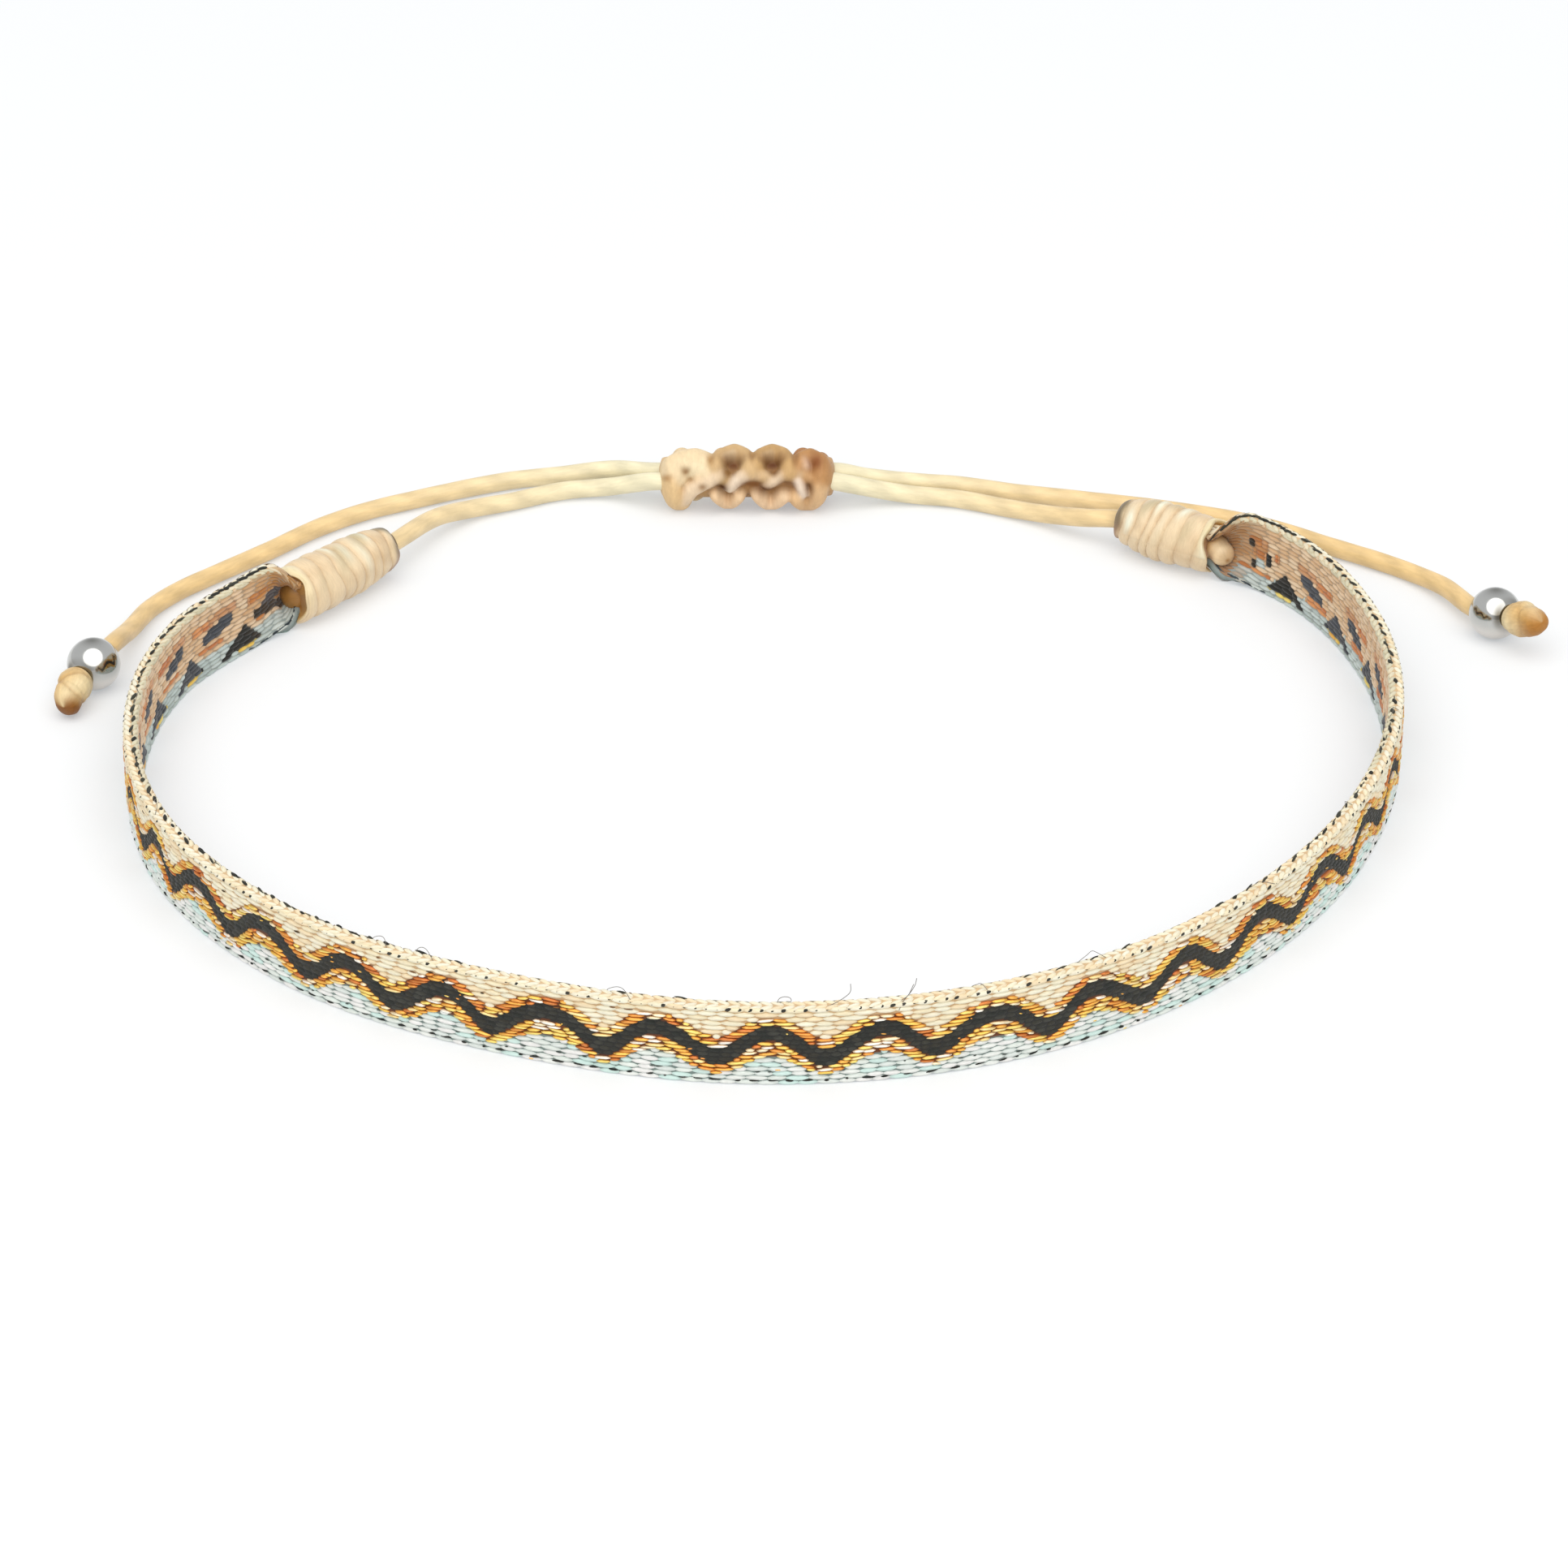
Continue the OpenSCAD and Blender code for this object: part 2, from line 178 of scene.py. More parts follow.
def on_axis(axis, along):
    return axis[0] + heading(axis[1]) * np.asarray(along, float)[..., None]


HIDDEN = 16
ahead = np.linspace(0, 1, HIDDEN + 1)[1:]
left_in, right_in = ahead[::-1], ahead
places = np.vstack([
    on_axis(axes[0], left_in * WHIP_LEN[0]), places, on_axis(axes[1], right_in * WHIP_LEN[1])])
headings = np.pad(headings, HIDDEN, mode="edge")
curls = np.pad(curls, HIDDEN, constant_values=1)
shares = np.concatenate([left_in, np.zeros(len(angles)), right_in])
lengths = np.concatenate([[0], np.cumsum(np.linalg.norm(np.diff(places, axis=0), axis=1))])
lengths -= np.interp(-90, angles, lengths[HIDDEN:-HIDDEN])
S_FROM, S_TO = lengths[HIDDEN], lengths[-HIDDEN - 1]


def whip_r(share):
    return WHIP_D / 2 * np.interp(share, *WHIP_SWELL.T)


def ribbon(s, h, d):
    """Points of the ribbon's own space, in the row frame."""
    s, h, d = np.broadcast_arrays(*(np.asarray(v, float) for v in (s, h, d)))
    x, y, way, curl, share = (
        np.interp(s, lengths, v) for v in (places[:, 0], places[:, 1], headings, curls, shares))
    outer = whip_r(share) - WHIP_WALL - GAP
    inner = np.maximum(CORD_R + GAP, outer - BAND_T * SQUEEZE)
    thick = mix(BAND_T, outer - inner, curl)
    curl_r = (outer + inner) / 2
    bend_r = curl_r / np.maximum(curl, FLAT)
    half = np.minimum(BAND_W / 2 / bend_r, math.radians(CURL_MAX / 2))
    depth = (bend_r + thick / 2) * np.sin(np.minimum(half, math.pi / 2))
    middle = np.maximum(mix(BAND_W / 2, WHIP_Z, curl), depth)
    a = half * (2 * h / BAND_W - 1)
    r = bend_r + d * thick / BAND_T
    out = curl * curl_r - bend_r + r * np.cos(a)
    return np.stack([x + np.sin(way) * out, y - np.cos(way) * out, middle + r * np.sin(a)], -1)


# Mesh and material helpers
def material(name, parts):
    """A node material. parts(nodes, shader) wires it."""
    m = bpy.data.materials.new(name)
    m.use_nodes = True
    nodes = m.node_tree.nodes
    parts(nodes, nodes["Principled BSDF"])
    return m


def put(n, **values):
    """Sets or links a node's inputs by name, with _ for a space, and sets its settings."""
    for key, value in values.items():
        name = key.replace("_", " ")
        if isinstance(value, bpy.types.NodeSocket):
            n.id_data.links.new(value, n.inputs[name])
        elif name in n.inputs:
            n.inputs[name].default_value = value
        else:
            setattr(n, key, value)
    return n


def node(nodes, kind, **values):
    return put(nodes.new("ShaderNode" + kind), **values)


def cloudy(nodes, scale, low, high):
    """A colour that drifts between two, and the noise it follows."""
    noise = node(nodes, "TexNoise", Scale=scale, Detail=2.0,
                 Vector=node(nodes, "TexCoord").outputs["Object"]).outputs["Fac"]
    ramp = node(nodes, "ValToRGB", Fac=noise)
    for stop, tone in zip(ramp.color_ramp.elements, (low, high)):
        stop.color = (*tone, 1)
    return ramp.outputs["Color"], noise


def thread_material(name, rough, spots, relief, metal=0.0, sheen=0.0, grain=(3, 24, 9), gloss=0.5):
    """Coloured by the mesh's tint, with fibres that lie along each thread."""
    def wire(nodes, shader):
        tint = node(nodes, "Attribute", attribute_name="tint")
        lie = node(nodes, "Attribute", attribute_name="lie")
        spread = node(nodes, "VectorMath", operation="MULTIPLY", Vector=lie.outputs["Vector"])
        spread.inputs[1].default_value = grain
        noise = node(nodes, "TexNoise", Scale=1.0, Detail=3.0, Roughness=0.6,
                     Vector=spread.outputs[0])
        fibre = noise.outputs["Fac"]
        shade = node(nodes, "MapRange", From_Min=0.3, From_Max=0.7, To_Min=1 - spots,
                     To_Max=1 + spots * 0.5, Value=fibre)
        tone = node(nodes, "VectorMath", operation="SCALE", Vector=tint.outputs["Color"],
                    Scale=shade.outputs["Result"])
        bump = node(nodes, "Bump", Strength=relief, Distance=0.00004, Height=fibre)
        put(shader, Base_Color=tone.outputs[0], Normal=bump.outputs["Normal"],
            Roughness=rough, Metallic=metal, Sheen_Weight=sheen, Specular_IOR_Level=gloss)
    return material(name, wire)


def piece(name, points, faces, tint, lie, finish, replaced=()):
    """A mesh piece from points in millimetres, with its colours and its places along and
    across the thread."""
    mesh = bpy.data.meshes.new(name)
    faces = faces.tolist() if isinstance(faces, np.ndarray) else faces
    points = np.reshape(points, (-1, 3)).copy()
    points[:, 2] = np.maximum(points[:, 2], 0)
    mesh.from_pydata(points * MM, [], faces)
    mesh.polygons.foreach_set("use_smooth", np.ones(len(mesh.polygons), bool))
    colour = mesh.attributes.new("tint", "FLOAT_COLOR", "POINT")
    rgba = np.ones((len(mesh.vertices), 4), np.float32)
    rgba[:, :3] = np.reshape(tint, (-1, 3)) * LIT
    colour.data.foreach_set("color", rgba.ravel())
    way = mesh.attributes.new("lie", "FLOAT_VECTOR", "POINT")
    way.data.foreach_set("vector", np.asarray(lie, np.float32).ravel())
    mesh.materials.append(finish)
    mesh.update()
    made = bpy.data.objects.new(name, mesh)
    scene.collection.objects.link(made)
    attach(made, "root")
    if replaced:
        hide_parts(*replaced)
    return made


def grid_faces(rows, columns, closed=False):
    """Quads of a grid of points, closed across its columns or not."""
    r, c = np.meshgrid(np.arange(rows - 1), np.arange(columns if closed else columns - 1),
                       indexing="ij")
    a, b = r * columns + c, r * columns + (c + 1) % columns
    return np.stack([a, b, b + columns, a + columns], -1).reshape(-1, 4)


def smooth_line(points, step):
    """A smooth line through the points, at an even step."""
    p = np.asarray(points, float)
    p = np.vstack([2 * p[0] - p[1], p, 2 * p[-1] - p[-2]])
    knots = np.concatenate([[0], np.cumsum(np.sqrt(np.linalg.norm(np.diff(p, axis=0), axis=1)))])
    line = []
    for i in range(1, len(p) - 2):
        t0, t1, t2, t3 = knots[i - 1:i + 3]
        t = np.linspace(t1, t2, 12, endpoint=i == len(p) - 3)[:, None]
        a1 = mix(p[i - 1], p[i], (t - t0) / (t1 - t0))
        a2 = mix(p[i], p[i + 1], (t - t1) / (t2 - t1))
        a3 = mix(p[i + 1], p[i + 2], (t - t2) / (t3 - t2))
        b1 = mix(a1, a2, (t - t0) / (t2 - t0))
        b2 = mix(a2, a3, (t - t1) / (t3 - t1))
        line.append(mix(b1, b2, (t - t1) / (t2 - t1)))
    line = np.vstack(line)
    far = np.concatenate([[0], np.cumsum(np.linalg.norm(np.diff(line, axis=0), axis=1))])
    at = np.linspace(0, far[-1], max(3, int(far[-1] / step) + 1))
    return np.stack([np.interp(at, far, line[:, k]) for k in range(3)], -1), at


def tube(line, wide, deep=None, up=(0, 0, 1), sides=14):
    """Rings round a line: half-widths across and along up, which may vary along it."""
    n = len(line)
    way = np.gradient(line, axis=0)
    way /= np.linalg.norm(way, axis=1)[:, None]
    up = np.broadcast_to(np.asarray(up, float), (n, 3))
    side = np.cross(way, up)
    side /= np.maximum(np.linalg.norm(side, axis=1), 1e-9)[:, None]
    top = np.cross(side, way)
    wide = np.broadcast_to(wide, n)
    deep = wide if deep is None else np.broadcast_to(deep, n)
    a = TAU * np.arange(sides) / sides
    return (line[:, None] + np.cos(a)[None, :, None] * (side * wide[:, None])[:, None]
            + np.sin(a)[None, :, None] * (top * deep[:, None])[:, None])


def capped(rings):
    """Points and faces of a closed tube, with a point at the middle of each end."""
    n, sides = rings.shape[:2]
    points = np.vstack([rings.reshape(-1, 3), rings[0].mean(0), rings[-1].mean(0)])
    rim = (n - 1) * sides
    first = [[n * sides, (k + 1) % sides, k] for k in range(sides)]
    last = [[n * sides + 1, rim + k, rim + (k + 1) % sides] for k in range(sides)]
    return points, grid_faces(n, sides, True).tolist() + first + last


def capped_piece(name, rings, tint, ends, along, around, finish, node_name, turned=1):
    """A closed tube in place of a solid. ends are the colours of its two end points, and
    turned is -1 for rings that run the other way round."""
    points, faces = capped(rings)
    tint = np.vstack([tint.reshape(-1, 3), *ends])
    lie = np.stack(np.broadcast_arrays(along, around, 0.0), -1).reshape(-1, 3)
    lie = np.vstack([lie, (along.flat[0], 0, 0), (along.flat[-1], 0, 0)])
    return piece(name, points, [f[::turned] for f in faces], tint, lie, finish,
                 (node_name,))


# Cords, first
wax = thread_material("waxed_cord", 0.42, 0.10, 0.25, sheen=0.1, grain=(1.1, 5, 3), gloss=0.45)
honey, pale = linear((251, 214, 150)), linear((255, 248, 212))
amber = linear((176, 122, 52))
# Colour of each cord's melted end, and how brown its very tip is
MELTED = {"left": (190, 130, 50), "right": (255, 226, 180)}
SINGE = {"left": 0.8, "right": 0.45}
# The bare end's way along the cord, the part of it that is melted off, how far the rest
# sags at its tip, and the wax round it in the mouth
STUB_WAY = 2.5
STUB_CUT = {"left": 2.25, "right": 1.0}
STUB_DROP = {"left": 0.3, "right": 1.5}
COLLAR = (196, 144, 76)
# Reach of the paler stretch on each side of the sliding knot
PALE_LEFT, PALE_RIGHT = 17, 15


def bead_way(bead):
    turn, pitch = math.radians(bead[1]), math.radians(bead[2])
    return np.array([math.cos(pitch) * math.cos(turn), math.cos(pitch) * math.sin(turn),
                     math.sin(pitch)])


def bead_centre(bead):
    return np.array([*bead[0], BEAD_Z])


def pair_points(side):
    turn = np.radians(180 + side + 180 * np.arange(5) / 4)
    return np.stack([
        knot_mid[0] + (KNOT_LEN + CORD_D / 2) * (np.arange(5) / 4 - 0.5),
        knot_mid[1] + PAIR_R * np.cos(turn),
        KNOT_Z + PAIR_R * np.sin(turn),
    ], -1)


def cord_route(axis, lead, knot, tail, bead):
    along = np.array([-STUB_LEN, -0.75 * STUB_LEN, 0, axis[2] / 2, axis[2]])
    bare = np.maximum(0, -along)[:, None]
    start = np.hstack([on_axis(axis, along) + heading(axis[1] + axis[3]) * bare * STUB_LEAN,
                       WHIP_Z + bare * STUB_RISE])
    bore = [bead_centre(bead) + bead_way(bead) * a for a in (-1.8, 0, KNOT_SEAT + SOCKET)]
    return np.vstack([start, lead, knot, tail, bore])


def pull_cord(name, route, far):
    """A cord from its melted end, which shows in the whipping's mouth, to its end knot."""
    sides = 16
    line, at = smooth_line(route, 0.18)
    keep = at > STUB_CUT[far]
    line[:, 2] -= STUB_DROP[far] * unit(1 - at / STUB_LEN / 1.25)
    line, at = line[keep], at[keep] - at[keep][0]
    wobble = 0.985 + 0.012 * np.sin(at * 1.9) * np.sin(at * 0.7 + 1)
    mouth = STUB_WAY - STUB_CUT[far]
    collar = np.exp(-((at - mouth) / 0.35) ** 2)
    blob = 1 + 0.3 * np.exp(-((at - 0.75) / 0.6) ** 2) + 0.45 * collar
    radius = CORD_R * wobble * blob * np.sqrt(1 - unit(1 - (at + 0.04) / 0.6) ** 2)
    rings = tube(line, radius, sides=sides)
    a = TAU * np.arange(sides) / sides
    off = line[:, 0] - knot_mid[0]
    near = np.exp(-(off / np.where(off < 0, PALE_LEFT, PALE_RIGHT)) ** 2)
    tint = mix(honey, pale, near[:, None])
    tint = tint * (1 + 0.04 * np.sin(at * 0.9) * np.sin(at * 2.3))[:, None]
    tint = mix(tint, linear(MELTED[far]), smooth((1.6 - at) / 0.6)[:, None])
    tint = mix(tint, linear(COLLAR), 0.75 * collar[:, None])
    tint = mix(tint, amber, SINGE[far] * np.exp(-(at / 0.3) ** 2)[:, None])
    twist = 0.07 * np.sin(2 * a[None, :] + at[:, None] * 2.4)
    tint = tint[:, None] * (1 + twist)[..., None]
    made = capped_piece(name, rings, tint, (amber, amber), at[:, None], a * CORD_R, wax,
                        "cord_" + far)
    return made, line, at[-1]


routes = {
    "left": cord_route(axes[0], LEFT_CORD_LEAD, pair_points(0), LEFT_CORD_TAIL, RIGHT_BEAD),
    "right": cord_route(axes[1], RIGHT_CORD_LEAD, pair_points(180)[::-1], RIGHT_CORD_TAIL,
                        LEFT_BEAD),
}
cords = {k: pull_cord("pull_cord_" + k, r, k) for k, r in routes.items()}

# The weave. WAVE is its period and CREST the place of a crest. Before TIGHT_FROM the period
# is TIGHT
WAVE, CREST, TIGHT_FROM, TIGHT = 5.65, -0.6, -34.5, 4.9
ROWS = 17
ROW = BAND_W / ROWS
CREAM, RIM_GOLD, BLACK, LOW_GOLD, AQUA = range(5)


def wave_turn(s):
    """Turns of the wave at s: a whole number at each crest."""
    s = s + 0.14 * np.sin(0.83 * s + 0.6) + 0.09 * np.sin(0.31 * s)
    return np.where(s > TIGHT_FROM, (s - CREST) / WAVE,
                    (TIGHT_FROM - CREST) / WAVE + (s - TIGHT_FROM) / TIGHT)


def outer_kind(s, h):
    """Which thread shows on the outer face."""
    p = TAU * wave_turn(s)
    c, cc = np.cos(p), np.cos(2 * p)
    f = 1 - h / BAND_W + 0.006 * np.sin(1.7 * s)
    edges = (0.235 - 0.13 * c + 0.025 * cc, 0.355 - 0.155 * c + 0.01 * cc,
             0.581 - 0.172 * c + 0.011 * cc, 0.734 - 0.118 * c + 0.004 * cc)
    return sum((f > e).astype(int) for e in edges)


PALETTE = {
    CREAM: [(255, 246, 216), (255, 241, 205), (255, 249, 224), (254, 233, 194), (255, 246, 220)],
    BLACK: [(62, 62, 57), (70, 69, 62), (55, 57, 53), (66, 64, 57), (74, 74, 68)],
    AQUA: [(242, 248, 240), (222, 246, 238), (250, 252, 246), (238, 244, 238), (254, 252, 248)],
}
GOLDS = [(255, 228, 122), (255, 212, 98), (252, 190, 84), (240, 164, 72), (218, 134, 62)]
# near-white metal strokes: painted glints
GOLD_GLINTS = [(255, 250, 232), (255, 242, 200), (255, 232, 160)]


def runs(kinds, grid):
    """Start, end and kind of each stretch of one kind along a row."""
    cut = np.flatnonzero(np.diff(kinds)) + 1
    cut = np.concatenate([[0], cut, [len(kinds)]])
    return [(grid[a], grid[min(b, len(grid) - 1)], kinds[a])
            for a, b in zip(cut[:-1], cut[1:])]


def split(a, b, length):
    """Stretches of about that length from a to b."""
    if b - a < length * 1.35:
        return [(a, b)]
    edges = [a, a + length * rng.uniform(0.45, 1.1)]
    while b - edges[-1] > length * 1.35:
        edges.append(edges[-1] + length * rng.uniform(0.82, 1.18))
    if b - edges[-1] < length * 0.35:
        edges[-1] = b
    else:
        edges.append(b)
    return list(zip(edges[:-1], edges[1:]))


# The faces of the ribbon that a float can lie on
OUTER, INNER, TOP = range(3)


class Grains:
    """Many small floats of thread, each a rounded or cut pad in the ribbon's space."""

    def __init__(self):
        self.rows = []

    def add(self, s, h, d, half_long, half_wide, high, tint, tilt=0.0, face=OUTER):
        self.rows.append((s, h, d, half_long, half_wide, high, tilt, face, *tint))

    def build(self, name, finish, slot, flat=False, nu=7, nv=5, rim=(0.8, 0.75, 0.67)):
        r = np.array(self.rows, float)
        n = len(r)
        u = np.sin(np.linspace(-1, 1, nu) * math.pi / 2)
        v = np.linspace(-1, 1, nv)
        u, v = (g.ravel() for g in np.meshgrid(u, v, indexing="ij"))
        # a pad's outline and rise, with a painted highlight along the middle and painted shade at
        # the rim
        if flat:
            narrow = np.maximum((1 - np.abs(u) ** 4) ** 0.7, 0.2)
            rise = (1 - v ** 4) * (1 - np.abs(u) ** 5) + 0.15 * (1 - v * v)
            edge = unit(0.9 * np.abs(v + 0.15) ** 2 + 0.7 * np.abs(u) ** 5)
            core = np.array([1.3, 1.36, 1.5])
        else:
            narrow = np.maximum((1 - np.abs(u) ** 2.4) ** 0.62, 0.1)
            rise = np.sqrt(np.maximum(1 - v * v, 0)) * (1 - np.abs(u) ** 3.5)
            edge = unit(0.8 * np.abs(v) ** 3 + 0.5 * np.abs(u) ** 5)
            core = np.full(3, 1.05)
        s, h, d, lon, wid, high, tilt, face = (r[:, k:k + 1] for k in range(8))
        along = lon * u[None]
        across = wid * (v * narrow)[None]
        up = high * rise[None]
        ct, st = np.cos(tilt), np.sin(tilt)
        a, b = along * ct - across * st, along * st + across * ct
        faces = [face == k for k in (OUTER, INNER, TOP)]
        dh = np.select(faces, [b, b, up])
        dd = np.select(faces, [up, -up, b])
        points = ribbon(s + a, np.maximum(h + dh, 0), d + dd)
        quads = grid_faces(nu, nv)
        flip = np.isin(face, (INNER, TOP))
        quads = np.where(flip[..., None], quads[None, :, ::-1], quads[None])
        quads = quads + (np.arange(n) * nu * nv)[:, None, None]
        tint = np.repeat(r[:, 8:11], nu * nv, axis=0)
        tint = tint * mix(core, np.array(rim), np.tile(edge, n)[:, None])
        own = np.broadcast_to(np.arange(n)[:, None] * 0.37, along.shape)
        lie = np.stack([along + s, across, own], -1)
        return piece(name, points, quads.reshape(-1, 4), tint, lie, finish)


def pick(colours, spread=0.04):
    c = linear(colours[rng.integers(len(colours))])
    return c * rng.uniform(1 - spread, 1 + spread)


def mouth_wax(s):
    """Colour of the wax that browns the ribbon in the mouth on that side of the front."""
    return linear((188, 126, 46) if s < 0 else (172, 114, 50))


# Floats lie this far from the middle of the ribbon's thickness
LAY = BAND_T / 2 - 0.075
grid = np.arange(S_FROM - 0.9, S_TO + 0.9, 0.04)
cream, black, gold, aqua = Grains(), Grains(), Grains(), Grains()
for j in range(ROWS):
    h = BAND_W - ROW * (j + 0.5)
    kinds = outer_kind(grid, h)
    for a, b, kind in runs(kinds, grid):
        if kind == BLACK:
            for p, q in split(a, b, 0.55):
                black.add((p + q) / 2, h, LAY, (q - p) / 2, ROW * 0.52, 0.06,
                          pick(PALETTE[BLACK]), rng.uniform(-0.03, 0.03))
                if rng.random() < 0.035:
                    gold.add((p + q) / 2, h, LAY + 0.04, rng.uniform(0.05, 0.16), 0.035, 0.05,
                             pick(GOLDS[:4]), rng.uniform(-0.3, 0.3))
        elif kind in (CREAM, AQUA):
            bag, size = (cream, 1.0) if kind == CREAM else (aqua, 0.95)
            for p, q in split(a, b, size):
                drip = 0.85 * smooth((S_FROM + 1.9 - p) / 1.2) * (kind == CREAM)
                tone = mix(pick(PALETTE[kind]), mouth_wax(p), drip)
                bag.add((p + q) / 2, h + rng.uniform(-0.015, 0.015), LAY, (q - p) / 2 * 1.08,
                        ROW * 0.56, 0.1, tone, rng.uniform(-0.05, 0.05))
                if kind == AQUA and rng.random() < 0.03:
                    gold.add((p + q) / 2, h, LAY + 0.06, rng.uniform(0.1, 0.2), 0.05, 0.05,
                             pick(GOLDS[:4]), rng.uniform(-0.2, 0.2))

# Metallic strokes lie closer together, and slant with the wave; on its flat turns many are
# painted glints in near white
FINE_ROWS = 23
FINE = BAND_W / FINE_ROWS
for j in range(1, FINE_ROWS - 1):
    h = BAND_W - FINE * (j + 0.5)
    kinds = outer_kind(grid, h)
    for a, b, kind in runs(kinds, grid):
        if kind not in (RIM_GOLD, LOW_GOLD):
            continue
        for p, q in split(a - 0.05, b + 0.05, 0.78):
            mid = (p + q) / 2
            t = TAU * wave_turn(np.array(mid))
            slope, flatness = -math.sin(t), abs(math.cos(t))
            bright = rng.random() < (0.55 if flatness > 0.88 else 0.16)
            tone = pick(GOLD_GLINTS if bright else GOLDS if rng.random() < 0.6
                        else GOLDS[:3] if kind == LOW_GOLD else GOLDS[:4])
            gold.add(mid + rng.uniform(-0.08, 0.08), h + rng.uniform(-0.02, 0.02),
                     LAY + rng.uniform(-0.02, 0.03), (q - p) / 2 * rng.uniform(0.9, 1.2),
                     FINE * rng.uniform(0.38, 0.48), 0.12, tone,
                     0.1 * slope + rng.uniform(-0.1, 0.1))

yarn = thread_material("woven_yarn", 0.8, 0.16, 0.5, sheen=0.25, grain=(3, 30, 9), gloss=0.25)
matt = thread_material("black_yarn", 0.9, 0.35, 0.7, sheen=0.1, grain=(5, 34, 9), gloss=0.15)
lame = thread_material("metallic_thread", 0.34, 0.22, 0.6, metal=0.55, grain=(2.2, 9, 9),
                       gloss=0.6)
# rim is the painted shade at each kind's float rims; the gold's bright middle is a painted
# highlight
cream.build("weave_cream", yarn, "woven_ribbon", rim=(0.9, 0.86, 0.78))
black.build("weave_black", matt, "woven_ribbon", nv=4, rim=(0.85, 0.85, 0.85))
gold.build("weave_gold", lame, "woven_ribbon", flat=True, rim=(0.78, 0.5, 0.3))
aqua.build("weave_aqua", yarn, "woven_ribbon", rim=(0.79, 0.83, 0.82))

# Inner face: the back of the weave, with its kinds of thread and the tones of each
inner = Grains()
SALMON, IVORY, ORANGE, RUST, SLATE, COAL, BLUE, GILT = range(8)
INNER_PALETTE = [
    [(236, 200, 158), (242, 210, 172), (230, 190, 146), (244, 216, 180)],
    [(230, 222, 190), (238, 226, 194), (220, 212, 180)],
    [(232, 158, 98), (218, 140, 82), (208, 130, 78)],
    [(212, 156, 108), (222, 166, 120)],
    [(72, 76, 84), (62, 66, 72), (82, 84, 88)],
    [(34, 34, 28), (42, 40, 34)],
    [(204, 218, 214), (214, 226, 222), (192, 206, 202)],
    GOLDS[:3],
]
# Marks by the right mouth: distance from it, height, half-lengths along and up, kind
MOUTH_MARKS = [
    (3.3, 2.80, 0.60, 0.62, RUST), (2.9, 3.15, 0.50, 0.18, ORANGE),
    (3.35, 2.40, 0.35, 0.24, ORANGE), (4.0, 2.35, 0.20, 0.40, COAL),
    (2.6, 2.90, 0.24, 0.18, COAL), (3.35, 1.80, 0.35, 0.22, BLUE),
    (2.8, 1.65, 0.20, 0.20, COAL),
]


def inner_kind(s, h):
    """Which thread shows on the inner face."""
    left = s < 0
    side = np.where(left, -1.0, 1.0)
    turn = wave_turn(s)
    period = np.where(s < TIGHT_FROM, TIGHT, WAVE)
    # q runs toward the nearer mouth from a crest, and t from a trough
    q = (turn - np.round(turn)) * period * side + np.where(left, -0.1, 0.5)
    t = (turn - np.floor(turn) - 0.5) * period * side + np.where(left, -0.2, 0.2)
    in_mouth = np.minimum(s - S_FROM, S_TO - s)
    up = h + np.where(left, -0.2, 0.3)
    kind = np.zeros(s.shape, int)
    wavy = 0.05 * np.sin(5 * s) + 0.04 * np.sin(9 * s + h)
    kind[h + wavy < np.where(left, 1.3, 1.12)] = BLUE
    kind[h + wavy > 4.32] = IVORY
    stroke = np.abs(up - 3.12 - 0.1 * q)
    kind[(stroke < 0.26) & (q > -2.3) & (q < 1.7)] = RUST
    kind[(stroke < 0.24) & (q > -2.2) & (q < -0.5)] = ORANGE
    kind[(np.abs(up - 1.6) < 0.18) & (q > -1.7) & (q < 0.6)] = ORANGE
    slate = (np.abs(up - 2.35 - 0.22 * q) < 0.47 - 0.14 * np.abs(q)) & (np.abs(q - 0.1) < 1.25)
    kind[slate] = SLATE
    low = np.where(t < 1.0, 0.3 + 0.11 * (t + 2.3), 9)
    high = np.where(t < -0.3, 0.3 + 0.8 * (t + 2.3), 1.9 - 0.96 * (t + 0.3))
    clear = in_mouth > 2.0
    triangle = clear & (t > -2.3) & (h > low) & (h < high)
    # near the mouths the triangles are coal-dark: painted shade
    kind[triangle] = np.where(in_mouth < 8, COAL, SLATE)[triangle]
    kind[clear & (t > -0.9) & (t < 1.1) & (np.abs(h - low + 0.1) < 0.1)] = GILT
    kind[left & (in_mouth < 3.3) & (np.abs(h - 1.65 - 0.16 * in_mouth) < 0.3)] = COAL
    kind[~left & (in_mouth < 4.5) & (h > 1.2) & (h < 3.5)] = SALMON
    for far, mid, long, tall, mark in MOUTH_MARKS:
        kind[~left & (np.abs(in_mouth - far) < long) & (np.abs(h - mid) < tall)] = mark
    return kind


# the inner kinds' first tones, darkened as painted shade in the gaps between floats
inner_gap_shade = linear([np.array(tones[0]) * 0.8 for tones in INNER_PALETTE])
for j in range(ROWS):
    h = BAND_W - ROW * (j + 0.5)
    for a, b, kind in runs(inner_kind(grid, np.full(grid.shape, h)), grid):
        for p, q in split(a, b, 1.0):
            # browned by wax where it goes into a whipping
            near = unit(1 - min(p - S_FROM, S_TO - q) / 3.6) ** 0.6
            waxed = 0.95 * smooth((h - 1.4) / 0.6) if kind < SLATE else 0.1
            waxed = max(waxed, 0.9 * smooth((q - S_TO + 2.2) / 1.2))
            tone = mix(pick(INNER_PALETTE[kind]), mouth_wax(p), near * waxed)
            inner.add((p + q) / 2, h + rng.uniform(-0.01, 0.01), -LAY, (q - p) / 2 * 1.04,
                      ROW * 0.54, 0.085, tone, rng.uniform(-0.05, 0.05), INNER)
inner.build("weave_inner", yarn, "woven_ribbon", nv=4)
